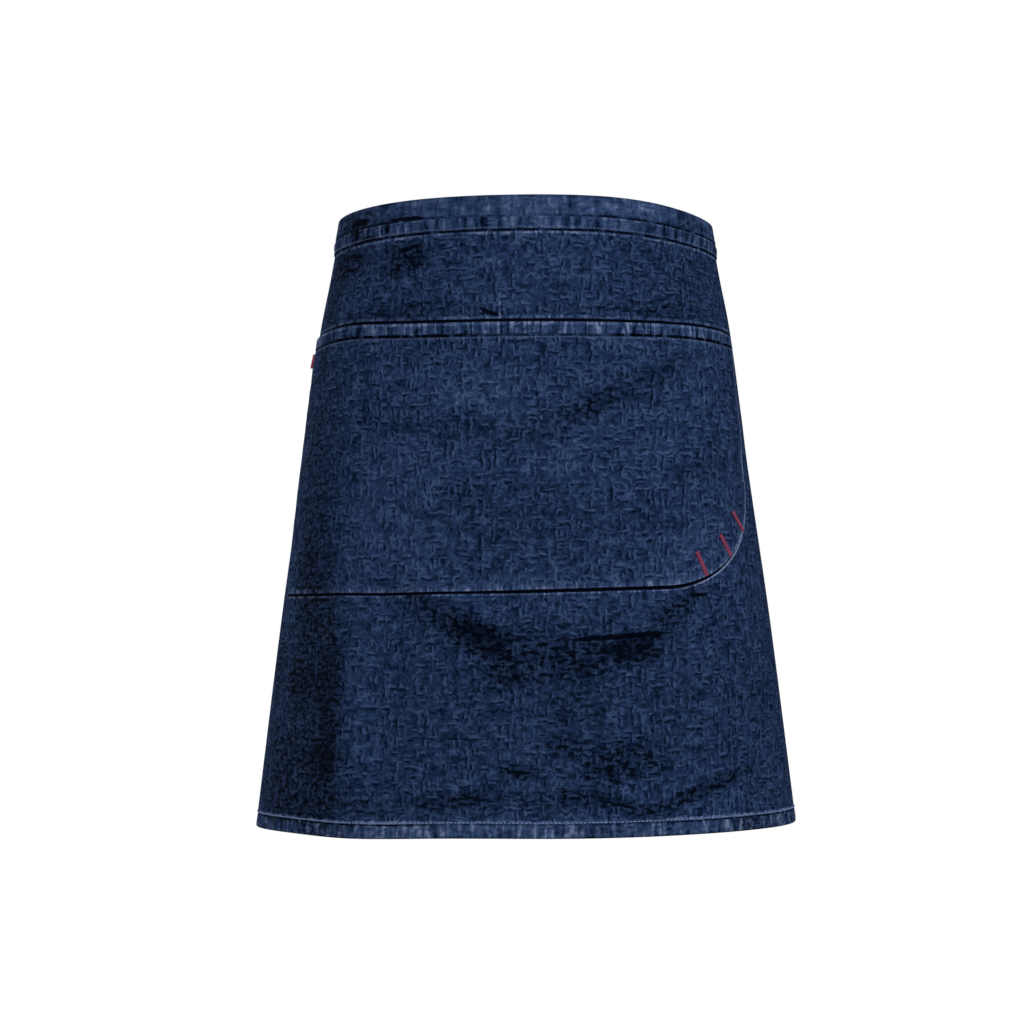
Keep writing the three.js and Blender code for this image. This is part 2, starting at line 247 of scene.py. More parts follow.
def length(name, description, default):
    """A property in metres."""
    return number(name, description, default, unit="LENGTH", precision=4)


def in_degrees(name, description, degrees):
    """An angle property, with its default in degrees."""
    return number(name, description, math.radians(degrees), subtype="ANGLE")


def in_pixels(name, description, default):
    """A property in pixels of the picture."""
    return number(name, description, default, subtype="PIXEL")


def in_watts(name, description, default):
    """A property for a light's power."""
    return number(name, description, default, unit="POWER")


def colour(name, description, default):
    """A colour property."""
    return FloatVectorProperty(
        name=name, description=description, default=default, subtype="COLOR", min=0.0, max=1.0
    )


class ApronSizes(bpy.types.PropertyGroup):
    """Sizes of the apron as it is cut and sewn."""
    apron_length: length("Apron length", "From the top of the waistband to the hem", 0.5)
    panel_width: length("Panel width", "Width of the hemmed panel on the cloth", 0.7)
    waistband_height: length("Waistband height", "Height of the folded waistband", 0.028)
    band_strip: length("Waistband strip", "From the waistband's lower edge up to its seam", 0.0105)
    yoke_height: length("Yoke height", "From the waistband down to the pocket's mouth", 0.074)
    pocket_width: length("Pocket width", "Width of the pocket on the cloth", 0.432)
    pocket_depth: length("Pocket depth", "From the pocket's mouth to its bottom", 0.211)
    pocket_rise: length("Pocket rise", "How far its bottom rises from the left to the corner", 0.004)
    hem_width: length("Hem width", "Width of the turned hem", 0.012)
    mouth_hem_width: length("Mouth hem width", "Width of the hem along the pocket's mouth", 0.010)
    corner_width: length("Corner width", "Width of the pocket's rounded corner", 0.090)
    corner_height: length("Corner height", "Height of the pocket's rounded corner", 0.080)
    corner_fullness: number("Corner fullness", "Power of the rounded corner's curve", 1.9, min=1.0)
    denim: length("Denim", "Thickness of one layer of denim", 0.0011)
    turned_hem: length("Turned hem", "Thickness of the turned hem", 0.0024)
    mouth_hem: length("Mouth hem", "Thickness of the hem along the pocket's mouth", 0.0019)
    waistband_layer: length("Waistband layer", "Thickness of the waistband's strip", 0.0013)
    slot_gap: length("Slot gap", "Room between the waistband and the panel", 0.0005)
    pocket_clearance: length("Pocket clearance", "Room between the pocket and the panel", 0.001)
    mouth_gape: length("Mouth gape", "How far the mouth stands open at centre front", 0.0014)
    mouth_gape_depth: length("Mouth gape depth", "How far down the mouth stands open", 0.022)
    tie_width: length("Tie width", "Width of the tie", 0.024)
    tie_thickness: length("Tie thickness", "Thickness of the folded tie", 0.0018)
    tie_lap: length("Tie lap", "How far the tie laps behind the waistband's ends", 0.032)
    tack_length: length("Tack length", "Length of a bar tack", 0.021)
    tack_width: length("Tack width", "Width of a bar tack", 0.0042)
    tack_inset: length("Tack inset", "From the pocket's edge to a bar tack", 0.0004)
    tag_height: length("Tag height", "Height of the ribbon tag", 0.012)
    tag_length: length("Tag length", "How far the ribbon tag stands out", 0.004)
    tag_thickness: length("Tag thickness", "Thickness of the folded ribbon", 0.0012)
    tag_drop: length("Tag drop", "From the pocket's mouth to the middle of the tag", 0.0165)
    tag_lean: in_degrees("Tag lean", "Angle of the tag from the cloth", 45)
    stitch_pitch: length("Stitch pitch", "From one stitch to the next", 0.0032)
    stitch_length: length("Stitch length", "Length of a stitch", 0.0029)
    thread_width: length("Thread width", "Width of the sewing thread", 0.0007)
    hem_thread_width: length("Hem thread width", "Width of the hem's bold thread", 0.0011)


class ApronColours(bpy.types.PropertyGroup):
    """Colours of the cloth and threads."""
    # Black indigo is the darkest yarn, and the colour that the painted shade in the fold hollows mixes
    # towards.
    black_indigo_and_shade: colour("Black indigo", "Denim in the deepest hollows", (0.0003, 0.0010, 0.0032))
    deep_indigo: colour("Deep indigo", "Denim in the hollows", (0.0021, 0.0060, 0.0185))
    mid_indigo: colour("Mid indigo", "Denim all over", (0.0115, 0.0240, 0.0640))
    worn_indigo: colour("Worn indigo", "Denim where it is rubbed", (0.0290, 0.0500, 0.1130))
    pale_indigo: colour("Pale indigo", "Denim rubbed through to the white yarn", (0.1000, 0.1300, 0.2100))
    wrong_side: colour("Wrong side", "Inside of the denim", (0.0950, 0.1200, 0.1750))
    # Gap shadow is the colour of the painted shadow lines at gaps, grooves, edges and creases, and of the
    # dark specks.
    gap_shadow: colour("Gap shadow", "Unfaded denim along an edge", (0.0005, 0.0011, 0.0034))
    hem_thread: colour("Hem thread", "Thread of the hem", (0.1300, 0.1900, 0.3600))
    seam_thread: colour("Seam thread", "Thread of the other seams", (0.0550, 0.0850, 0.1750))
    tack_thread: colour("Tack thread", "Thread of the bar tacks", (0.1800, 0.0240, 0.0640))
    ribbon: colour("Ribbon", "Plain ribbon of the tag", (0.3000, 0.0160, 0.0620))
    floor: colour("Floor", "Pale floor", (0.9000, 0.9000, 0.9000))


class StageSizes(bpy.types.PropertyGroup):
    """Camera, lights and floor."""
    camera_distance: length("Camera distance", "From the apron's axis to the camera", 2.2)
    camera_height: length("Camera height", "Height of the camera", -0.335)
    camera_turn: in_degrees("Camera turn", "Turn of the camera round to the viewer's right", 6)
    focal_pixels: in_pixels("Focal length", "Focal length in pixels of the picture", 2681.0)
    horizon_row: in_pixels("Horizon row", "Row of the picture at the camera's height", 640.0)
    axis_column: in_pixels("Axis column", "Column of the picture on the apron's axis", 525.0)
    floor_height: length("Floor height", "Height of the floor under the wearer", -1.0)
    floor_reach: length("Floor reach", "Half width of the floor", 1.6)
    key_power: in_watts("Key light", "Power of the key light", 62.0)
    fill_power: in_watts("Fill light", "Power of the fill light", 10.0)
    rim_power: in_watts("Rim light", "Power of the light on the left edge", 14.0)
    ambient: number("Ambient", "Strength of the light from all round", 0.3, subtype="FACTOR")


class Layout:
    """Heights and edges of the apron's lines on the cloth, worked out from its sizes."""

    def __init__(self, sizes):
        self.sizes = sizes
        self.waist_top = sizes.waistband_height / 2
        self.waistband_bottom = self.waist_top - sizes.waistband_height
        self.band_seam = self.waistband_bottom + sizes.band_strip
        self.pocket_mouth = self.waistband_bottom - sizes.yoke_height
        self.pocket_bottom = self.pocket_mouth - sizes.pocket_depth
        self.mouth_seam = self.pocket_mouth - sizes.mouth_hem_width
        self.hem = self.waist_top - sizes.apron_length
        self.hem_seam = self.hem + sizes.hem_width
        self.panel_edge = sizes.panel_width / 2
        self.side_seam = self.panel_edge - sizes.hem_width
        self.panel_top = self.waist_top - sizes.waistband_layer - 2 * sizes.slot_gap
        self.pocket_edge = sizes.pocket_width / 2
        self.corner_start = self.pocket_edge - sizes.corner_width
        self.corner_top = self.pocket_bottom + sizes.pocket_rise + sizes.corner_height


# Shapes shared by the pieces
def smoothstep(values, start, end):
    """Smooth rise from 0 at start to 1 at end."""
    share = np.clip((values - start) / (end - start), 0.0, 1.0)
    return share * share * (3.0 - 2.0 * share)


def bell(values, middle, width):
    """Smooth bump of height 1 at the middle."""
    return np.exp(-(((values - middle) / width) ** 2))


def waves(places, spacing, seed):
    """Smooth uneven waves between -1 and 1, with a knot at every spacing."""
    knots = np.random.default_rng(seed).uniform(-1.0, 1.0, WAVE_KNOTS)
    position = places / spacing + WAVE_KNOTS / 2
    index = np.floor(position).astype(int)
    share = smoothstep(position - index, 0.0, 1.0)
    return knots[index % WAVE_KNOTS] * (1.0 - share) + knots[(index + 1) % WAVE_KNOTS] * share


def grid_lines(*stretches):
    """Lines of a grid from stretches of (start, end, step) and from lists of single lines."""
    lines = []
    for stretch in stretches:
        if isinstance(stretch, tuple):
            start, end, step = stretch
            lines.append(np.linspace(start, end, max(2, round(abs(end - start) / step) + 1)))
        else:
            lines.append(np.asarray(stretch))
    ordered = np.sort(np.concatenate(lines))
    kept = np.concatenate(([True], np.diff(ordered) > LEAST_STEP))
    return ordered[kept]


def edge_fullness(distance, wall):
    """Share of the wall's thickness at a distance from its rounded edge."""
    share = np.clip(distance / (wall / 2), 0.0, 1.0)
    return np.maximum(LEAST_EDGE, np.sqrt(1.0 - (1.0 - share) ** 2))


def along_and_off(mark, across, height):
    """Distances along the sloping line of a fold or fade, and off it."""
    slope = math.radians(mark.slope)
    right = across - mark.across
    up = height - mark.height
    along = right * math.cos(slope) + up * math.sin(slope)
    off = up * math.cos(slope) - right * math.sin(slope)
    return along, off


class WornForm:
    """The form of the worn cloth: level sections, with the cloth's length measured along them."""
    levels = 300
    turns = 1441
    steps = 1200
    arc_end = 0.6
    level_margin = 0.012
    last_cell = 1.001

    def __init__(self):
        table = np.array(SECTIONS)
        self.heights = table[:, 0]
        self.columns = table[:, 1:]
        gaps = self.heights[1:] - self.heights[:-1]
        slopes = np.empty_like(self.columns)
        slopes[0] = (self.columns[1] - self.columns[0]) / gaps[0]
        slopes[-1] = (self.columns[-1] - self.columns[-2]) / gaps[-1]
        spans = (self.heights[2:] - self.heights[:-2])[:, None]
        slopes[1:-1] = (self.columns[2:] - self.columns[:-2]) / spans
        self.slopes = slopes
        self.lowest = self.heights[0] - self.level_margin
        self.highest = self.heights[-1] + self.level_margin
        self.turn_table = self._turn_table()

    def section_values(self, height):
        """Columns of the section table at each height, on a smooth curve."""
        clamped = np.clip(height, self.heights[0], self.heights[-1])
        low = np.clip(np.searchsorted(self.heights, clamped, side="right") - 1, 0, len(self.heights) - 2)
        span = self.heights[low + 1] - self.heights[low]
        t = ((clamped - self.heights[low]) / span)[..., None]
        start = self.columns[low]
        rise = self.columns[low + 1] - start
        start_pull = self.slopes[low] * span[..., None] - rise
        end_pull = rise - self.slopes[low + 1] * span[..., None]
        values = start + t * rise + t * (1 - t) * ((1 - t) * start_pull + t * end_pull)
        return np.moveaxis(values, -1, 0)

    @staticmethod
    def radius(half_width, half_depth, squareness, turn):
        """Distance from the axis to a section at an angle from centre front."""
        sideways = np.abs(np.sin(turn)) / half_width
        forward = np.abs(np.cos(turn)) / half_depth
        return (sideways ** squareness + forward ** squareness) ** (-1.0 / squareness)

    def chords(self, half_width, half_depth, squareness, angles):
        """Lengths from each angle to the next round a section."""
        radius = self.radius(half_width, half_depth, squareness, angles)
        return np.hypot(np.diff(radius * np.sin(angles)), np.diff(radius * np.cos(angles)))

    def _turn_table(self):
        """Angle at each level and each distance along the cloth from centre front."""
        heights = np.linspace(self.lowest, self.highest, self.levels)
        half_width, half_depth, squareness, *_ = self.section_values(heights)
        angles = np.linspace(0.0, 2 * math.pi, self.turns)
        arcs = np.linspace(0.0, self.arc_end, self.steps)
        table = np.empty((self.levels, self.steps))
        for level in range(self.levels):
            chords = self.chords(half_width[level], half_depth[level], squareness[level], angles)
            run = np.concatenate(([0.0], np.cumsum(chords)))
            table[level] = np.interp(arcs, run, angles)
        return table

    def turn_at(self, across, height):
        """Angle from centre front of a place on the cloth."""
        level = (height - self.lowest) / (self.highest - self.lowest) * (self.levels - 1)
        level = np.clip(level, 0.0, self.levels - self.last_cell)
        step = np.clip(np.abs(across) / self.arc_end * (self.steps - 1), 0.0, self.steps - self.last_cell)
        row = np.floor(level).astype(int)
        column = np.floor(step).astype(int)
        up = level - row
        along = step - column
        table = self.turn_table
        lower = table[row, column] * (1 - along) + table[row, column + 1] * along
        upper = table[row + 1, column] * (1 - along) + table[row + 1, column + 1] * along
        return np.sign(across) * (lower * (1 - up) + upper * up)

    def points(self, across, height):
        """Points of the form itself, with no folds."""
        half_width, half_depth, squareness, left_rise, right_rise, power = self.section_values(height)
        turn = self.turn_at(across, height)
        radius = self.radius(half_width, half_depth, squareness, turn)
        own = np.where(turn < 0, left_rise, right_rise)
        other = np.where(turn < 0, right_rise, left_rise)
        quarter = math.pi / 2
        front = own * np.sin(np.minimum(np.abs(turn), quarter)) ** power
        back = own + (other - own) * smoothstep(np.abs(turn), quarter, 3 * quarter)
        rise = np.where(np.abs(turn) <= quarter, front, back)
        level = height + rise + self.drift(across, height)
        return np.stack((radius * np.sin(turn), -radius * np.cos(turn), level), axis=-1)

    @staticmethod
    def drift(across, height):
        """How far the cloth hangs off its level."""
        lift = np.zeros_like(across)
        for place in DRIFTS:
            along = (across - place.across) / place.length
            up = height - place.height
            off = up / np.where(up > 0, place.above, place.below)
            lift = lift + place.lift * np.exp(-(along * along + off * off) / 2)
        return lift

    @staticmethod
    def fold_lift(across, height):
        """How far the folds lift the cloth off the form."""
        lift = np.zeros_like(across)
        for fold in FOLDS:
            along, off = along_and_off(fold, across, height)
            along = along / fold.length
            off = off / np.where(off > 0, fold.above, fold.below)
            lift += fold.depth * (1 - off * off) * np.exp(-(off * off + along * along) / 2)
        return lift

    def cloth_points(self, across, height, lift):
        """Places on the cloth as points in space."""
        across, height, lift = np.broadcast_arrays(across, height, lift)
        reach = NORMAL_REACH
        sideways = self.points(across + reach, height) - self.points(across - reach, height)
        upward = self.points(across, height + reach) - self.points(across, height - reach)
        outward = np.cross(sideways, upward)
        outward /= np.linalg.norm(outward, axis=-1, keepdims=True)
        total = lift + self.fold_lift(across, height)
        return self.points(across, height) + outward * total[..., None]


FORM = WornForm()


def dye_and_shade_tone(across, height):
    """Tone of the patches: uneven dye, with painted shade in the fold hollows and painted light on the lit
    folds.
    """
    tone = np.zeros_like(across)
    for fade in DYE_AND_SHADE_PATCHES:
        along, off = along_and_off(fade, across, height)
        along = along / fade.length
        off = off / fade.width
        far = along * along + off * off
        tone += fade.tone * np.exp(-far * far / 4)
    return tone


def pocket_level(layout, across):
    """Height of the pocket's bottom before its corner is rounded."""
    rise = layout.sizes.pocket_rise
    return layout.pocket_bottom + rise * smoothstep(across, -layout.corner_start, layout.corner_start)


def pocket_outline(layout, across, height):
    """Distance outside the pocket's sides and bottom, below zero inside, in the cloth's plane."""
    sizes = layout.sizes
    right = np.maximum(across - layout.corner_start, 0.0) / sizes.corner_width
    corner_top = pocket_level(layout, across) + sizes.corner_height
    down = np.maximum(corner_top - height, 0.0) / sizes.corner_height
    power = sizes.corner_fullness
    corner = ((right ** power + down ** power) ** (1.0 / power) - 1.0) * sizes.corner_height
    return np.maximum(corner, -layout.pocket_edge - across)


def new_object(name, mesh, material):
    """An object in the scene, at the origin, with its material."""
    mesh.materials.append(material)
    mesh.shade_smooth()
    made = bpy.data.objects.new(name, mesh)
    bpy.context.scene.collection.objects.link(made)
    return made


def add_marks(mesh, marks):
    """Numbers at each point of the mesh, for its material to read."""
    for name, values in marks.items():
        attribute = mesh.attributes.new(name=name, type="FLOAT", domain="POINT")
        attribute.data.foreach_set("value", np.ascontiguousarray(values, dtype=np.float32).ravel())


def cloth_marks(fade, wear, **more):
    """Marks of a cloth that is worn on its outer face, with its uneven dye, painted shade and painted light
    there, and has the wrong side on its inner face.
    """
    none = np.zeros_like(fade)
    return {"fade": (fade, none), "wear": (wear, none), "inside": (none, none + 1.0), **more}


def closed_sheet(name, outer, inner, chart, marks, material):
    """A closed sheet of cloth between its outer and inner face, which are grids of places.

    A face is (across, height, lift). The chart is (along, up) for the pattern of the cloth, and each
    mark is a pair of grids, one for each face.
    """
    rows, columns = chart[0].shape
    faces = [FORM.cloth_points(*face).reshape(-1, 3) for face in (outer, inner)]
    index = np.arange(rows * columns).reshape(rows, columns)
    front = np.stack((index[:-1, :-1], index[:-1, 1:], index[1:, 1:], index[1:, :-1]), axis=-1)
    front = front.reshape(-1, 4)
    behind = index.size
    rim = np.concatenate((index[0, :], index[1:, -1], index[-1, -2::-1], index[-2:0:-1, 0]))
    following = np.roll(rim, -1)
    edge = np.stack((following, rim, rim + behind, following + behind), axis=-1)
    quads = np.concatenate((front, front[:, ::-1] + behind, edge))
    mesh = bpy.data.meshes.new(name)
    mesh.from_pydata(np.concatenate(faces).tolist(), [], quads.tolist())
    layer = mesh.uv_layers.new(name=CLOTH_MAP)
    place = np.tile(np.stack(chart, axis=-1).reshape(-1, 2), (2, 1))
    layer.data.foreach_set("uv", place[quads.ravel()].astype(np.float32).ravel())
    add_marks(mesh, {key: np.concatenate([np.ravel(face) for face in pair]) for key, pair in marks.items()})
    mesh.validate()
    return new_object(name, mesh, material)


def settle(piece, node=None):
    """Fixes a finished piece to the frame."""
    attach(piece, BODY)
    if node:
        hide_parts(node)


# Node trees
class Wire:
    """A socket of a node tree, on which Python's arithmetic adds Math nodes."""

    def __init__(self, sheet, socket):
        self.sheet = sheet
        self.socket = socket

    def _math(self, operation, first, second):
        return self.sheet.node("ShaderNodeMath", {"operation": operation}, {0: first, 1: second})

    def __add__(self, other):
        return self._math("ADD", self, other)

    __radd__ = __add__

    def __sub__(self, other):
        return self._math("SUBTRACT", self, other)

    def __rsub__(self, other):
        return self._math("SUBTRACT", other, self)

    def __mul__(self, other):
        return self._math("MULTIPLY", self, other)

    __rmul__ = __mul__

    def __truediv__(self, other):
        return self._math("DIVIDE", self, other)

    def __pow__(self, other):
        return self._math("POWER", self, other)

    def __abs__(self):
        return self.sheet.node("ShaderNodeMath", {"operation": "ABSOLUTE"}, {0: self})

    def most(self, other):
        """The greater of two values."""
        return self._math("MAXIMUM", self, other)

    def least(self, other):
        """The smaller of two values."""
        return self._math("MINIMUM", self, other)


class NodeSheet:
    """Adds nodes to one tree."""

    def __init__(self, tree):
        self.tree = tree
        self.tree.nodes.clear()

    def node(self, kind, settings=None, sockets=None, output=0):
        """Adds a node: its settings first, then the values or links of its sockets."""
        made = self.tree.nodes.new(kind)
        for key, value in (settings or {}).items():
            if key == "stops":
                self._set_stops(made.color_ramp, value)
            else:
                setattr(made, key, value)
        for key, value in (sockets or {}).items():
            if isinstance(value, Wire):
                self.tree.links.new(value.socket, made.inputs[key])
            else:
                made.inputs[key].default_value = value
        if not made.outputs:
            return None
        return Wire(self, made.outputs[output])

    @staticmethod
    def _set_stops(ramp, stops):
        while len(ramp.elements) < len(stops):
            ramp.elements.new(1.0)
        for element, (position, tint) in zip(ramp.elements, stops):
            element.position = position
            element.color = tint

    def split(self, vector):
        """The X and Y of a vector."""
        made = self.tree.nodes.new("ShaderNodeSeparateXYZ")
        self.tree.links.new(vector.socket, made.inputs[0])
        return Wire(self, made.outputs[0]), Wire(self, made.outputs[1])

    def noise(self, x, y, detail=1.0, roughness=0.5):
        """Noise of period about 1 over a plane."""
        place = self.node("ShaderNodeCombineXYZ", None, {"X": x, "Y": y})
        settings = {"noise_dimensions": "2D"}
        values = {"Vector": place, "Scale": 1.0, "Detail": detail, "Roughness": roughness}
        return self.node("ShaderNodeTexNoise", settings, values)

    def rise(self, value, start, end):
        """Smooth rise of a value from 0 at start to 1 at end."""
        settings = {"interpolation_type": "SMOOTHSTEP"}
        return self.node("ShaderNodeMapRange", settings, {"Value": value, "From Min": start, "From Max": end})

    def line(self, value, middle, half, soft):
        """A line of 1 round a middle value, with soft sides."""
        return 1.0 - self.rise(abs(value - middle), half, half + soft)

    def between(self, value, low, high, soft):
        """A band of 1 from low to high, with soft sides."""
        return self.line(value, (low + high) / 2, (high - low) / 2, soft)

    def mix(self, share, first, second):
        """A mix of two colours."""
        settings = {"data_type": "RGBA"}
        return self.node("ShaderNodeMix", settings, {0: share, 6: first, 7: second}, output=2)

    def sine(self, value, period):
        """A sine wave of a value."""
        return self.node("ShaderNodeMath", {"operation": "SINE"}, {0: value * (2 * math.pi / period)})

    def mark(self, name):
        """A number that the mesh holds at each point."""
        return self.node("ShaderNodeAttribute", {"attribute_name": name}, output="Fac")


def solid(tint):
    """A property's colour with full alpha."""
    return (*tint, 1.0)


def new_material(name):
    """A material with an empty node tree."""
    material = bpy.data.materials.new(name)
    material.use_nodes = True
    return material, NodeSheet(material.node_tree)


def finish_material(sheet, base, roughness, relief, depth, specular=0.1):
    """Principled cloth with relief from a height in metres."""
    bump_values = {"Strength": 1.0, "Distance": depth, "Height": relief}
    bump = sheet.node("ShaderNodeBump", None, bump_values)
    values = {
        "Base Color": base,
        "Roughness": roughness,
        "Specular IOR Level": specular,
        "Normal": bump,
    }
    shader = sheet.node("ShaderNodeBsdfPrincipled", None, values)
    sheet.node("ShaderNodeOutputMaterial", None, {"Surface": shader})


class DenimCloth:
    """Worn denim on a cloth chart, in millimetres, with painted shade from the patch table, to which a piece
    adds its own seams with their painted shadow and highlight lines.
    """
    wander = 7.0
    wander_reach = 3.2
    curl_size = 6.6
    curl_width = 0.125
    yarn_cells = (8.4, 5.6)
    yarn_reach = (0.42, 0.62)
    yarn_light = (0.1, 1.55)
    yarn_dark = (-1.85, 0.2, 1.3)
    twill_pitch = 0.95
    blot_size = 4.6
    patch_size = 45.0
    rubbed_size = 11.0
    grain_width = 0.9
    grain_length = 3.0
    crease_ragging = 2.0
    crease_ragging_size = 6.0
    shade_share = 0.4
    most_shade = 0.72
    speck_width = 6.0
    speck_height = 3.4
    relief_depth = 0.00025
    gloss = 0.01

    def __init__(self, name, colours):
        self.colours = colours
        self.material, self.sheet = new_material(name)
        sheet = self.sheet
        chart = sheet.node("ShaderNodeUVMap", {"uv_map": CLOTH_MAP})
        along, up = sheet.split(chart)
        self.across = along * TO_MM
        self.height = up * TO_MM
        self._weave()
        # The patches' painted light and lighter dye lift the tone; their painted shade and darker dye mix the
        # cloth towards black and bring dark specks.
        fade = sheet.mark("fade")
        self.tone = self.tone + sheet.mark("wear") + fade.most(0.0)
        depth = (0.0 - fade).most(0.0)
        self.shade = (depth * self.shade_share).least(self.most_shade)
        uneven = sheet.noise(self.across / self.speck_width + 9.0, self.height / self.speck_height, 1.5)
        speck = sheet.rise(uneven + depth * 0.06, 0.59, 0.66)
        self.dark = speck * (depth * 0.7 + 0.2).least(0.9)

    def _weave(self):
        sheet, x, y = self.sheet, self.across, self.height
        bent_x = x + self.wander_reach * (sheet.noise(x / self.wander, y / self.wander) - 0.5)
        bent_y = y + self.wander_reach * (sheet.noise(y / self.wander + 40.0, x / self.wander) - 0.5)
        first_cell, second_cell = self.yarn_cells
        light, dark = self._yarns(bent_x, bent_y, first_cell, 0.0)
        more_light, more_dark = self._yarns(bent_x, bent_y, second_cell, 70.0)
        rubbed = sheet.noise(x / self.rubbed_size + 5.0, y / self.rubbed_size)
        strength = sheet.rise(rubbed, 0.3, 0.7)
        light = light.most(more_light).most(self._curls(bent_x, bent_y, 12.0) * strength)
        dark = dark.most(more_dark).most(self._curls(bent_x, bent_y, 90.0) * (1.0 - strength) * 0.8)
        blots = sheet.noise(x / self.blot_size + 31.0, y / self.blot_size, 2.0, 0.6) - 0.5
        patches = sheet.noise(x / self.patch_size + 3.0, y / self.patch_size, 2.0) - 0.5
        upright_grain = sheet.noise(x / self.grain_width, y / self.grain_length)
        level_grain = sheet.noise(x / self.grain_length, y / self.grain_width)
        grain = upright_grain + level_grain - 1.0
        twill = sheet.sine(x + y, self.twill_pitch)
        self.yarn = light * 1.1 - dark * 0.85 + blots * 1.5 + grain * 0.1
        self.tone = self.yarn + patches * 0.4 - 0.28
        self.relief = light * 0.25 - dark * 0.25 + blots * 0.3 + grain * 0.4 + twill * 0.12

    def _curls(self, x, y, seed):
        """Thin curling yarns."""
        uneven = self.sheet.noise(x / self.curl_size + seed, y / self.curl_size, 0.6)
        return 1.0 - self.sheet.rise(abs(uneven - 0.5), 0.0, self.curl_width)

    def _yarns(self, x, y, cell, seed):
        """Short rubbed yarns, upright or level, and the dark side of each."""
        sheet = self.sheet
        place = sheet.node("ShaderNodeCombineXYZ", None, {"X": x / cell + seed, "Y": y / cell + seed})
        settings = {"voronoi_dimensions": "2D", "feature": "F1"}
        values = {"Vector": place, "Scale": 1.0}
        cells = sheet.node("ShaderNodeTexVoronoi", settings, values, output="Position")
        draw = Wire(sheet, cells.socket.node.outputs["Color"])
        chance, drawn = sheet.split(draw)
        strength = sheet.rise(drawn, 0.1, 0.95)
        offset = sheet.node("ShaderNodeVectorMath", {"operation": "SUBTRACT"}, {0: place, 1: cells})
        right, up = sheet.split(offset)
        upright = sheet.rise(chance, 0.499, 0.501)
        off = right * upright + up * (1.0 - upright)
        along = up * upright + right * (1.0 - upright)
        reach = 1.0 - sheet.rise(abs(along), *self.yarn_reach)
        light = 1.0 - sheet.rise(abs(off) * cell, *self.yarn_light)
        dark = sheet.line(off * cell, *self.yarn_dark)
        return reach * light * strength, reach * dark * strength

    def bars(self, spacing, seed):
        """Soft light and dark bars that stand along a level seam, from -1 to 1."""
        uneven = self.sheet.noise(self.across / spacing + seed, self.height / 30.0, 0.8)
        return self.sheet.rise(uneven, 0.30, 0.70) * 2.0 - 1.0

    def ticks(self, spacing, seed):
        """Thin lines that stand along a level seam."""
        uneven = self.sheet.noise(self.across / spacing + seed, self.height / 60.0, 0.5)
        return 1.0 - self.sheet.rise(abs(uneven - 0.5), 0.02, 0.08)

    def broken(self, spacing, seed, least):
        """Uneven strength along a level seam, from least to 1."""
        uneven = self.sheet.noise(self.across / spacing + seed, 0.0, 2.0)
        return self.sheet.rise(uneven, 0.32, 0.52) * (1.0 - least) + least

    def creases(self, low, high):
        """Adds the painted shadows of the creases whose middles lie between two heights."""
        for crease in CREASES:
            if low < crease.height < high:
                self._crease(crease)

    def _crease(self, crease):
        """Adds the painted shadow of a sharp crease: a dark line, ragged along its line."""
        sheet = self.sheet
        slope = math.radians(crease.slope)
        right = self.across - crease.across * TO_MM
        up = self.height - crease.height * TO_MM
        along = right * math.cos(slope) + up * math.sin(slope)
        uneven = sheet.noise(along / self.crease_ragging_size, crease.across * TO_MM)
        ragged = self.crease_ragging * (uneven - 0.5)
        off = up * math.cos(slope) - right * math.sin(slope) + ragged
        run = crease.length * TO_MM
        width = crease.width * TO_MM
        blunted = abs(off) + width * sheet.rise(abs(along), run * 0.5, run)
        self.darken((1.0 - sheet.rise(blunted, width * 0.7, width * 1.2)) * 0.95)

    def rub(self, across, low, high):
        """Adds a thin worn line up the cloth."""
        sheet = self.sheet
        run = sheet.between(self.height, low, high, 5.0) * sheet.noise(self.height / 5.0, across)
        self.lighten(sheet.line(self.across, across, 0.3, 0.7) * run * 2.0)

    def calm(self, share):
        """Takes down the yarns where the cloth is turned and pressed."""
        self.tone = self.tone - self.yarn * share

    def lighten(self, share):
        """Adds a lighter tone: wear, and the painted highlights beside edges and seams."""
        self.tone = self.tone + share

    def darken(self, share):
        """Adds a dark mark: the painted shadows at edges, grooves and creases, and other dark marks."""
        self.dark = self.dark.most(share)

    def finish(self):
        """Ties the cloth's tone, its painted shade, its painted shadow lines and dark specks, and its inside
        together.
        """
        sheet, tints = self.sheet, self.colours
        stops = [
            (0.0, solid(tints.black_indigo_and_shade)),
            (0.25, solid(tints.deep_indigo)),
            (0.5, solid(tints.mid_indigo)),
            (0.75, solid(tints.worn_indigo)),
            (1.0, solid(tints.pale_indigo)),
        ]
        ramp = sheet.node("ShaderNodeValToRGB", {"stops": stops}, {"Fac": self.tone * 0.25 + 0.5})
        # Painted shade from the patches, then the painted shadow lines and dark specks.
        shaded = sheet.mix(self.shade, ramp, solid(tints.black_indigo_and_shade))
        shaded = sheet.mix(self.dark, shaded, solid(tints.gap_shadow))
        pale = sheet.mix(sheet.rise(self.yarn, -1.4, 1.0), solid(tints.mid_indigo), solid(tints.wrong_side))
        base = sheet.mix(sheet.mark("inside"), shaded, pale)
        roughness = 0.95 - sheet.rise(self.tone, 0.0, 1.5) * 0.12
        finish_material(sheet, base, roughness, self.relief, self.relief_depth, specular=self.gloss)
        return self.material


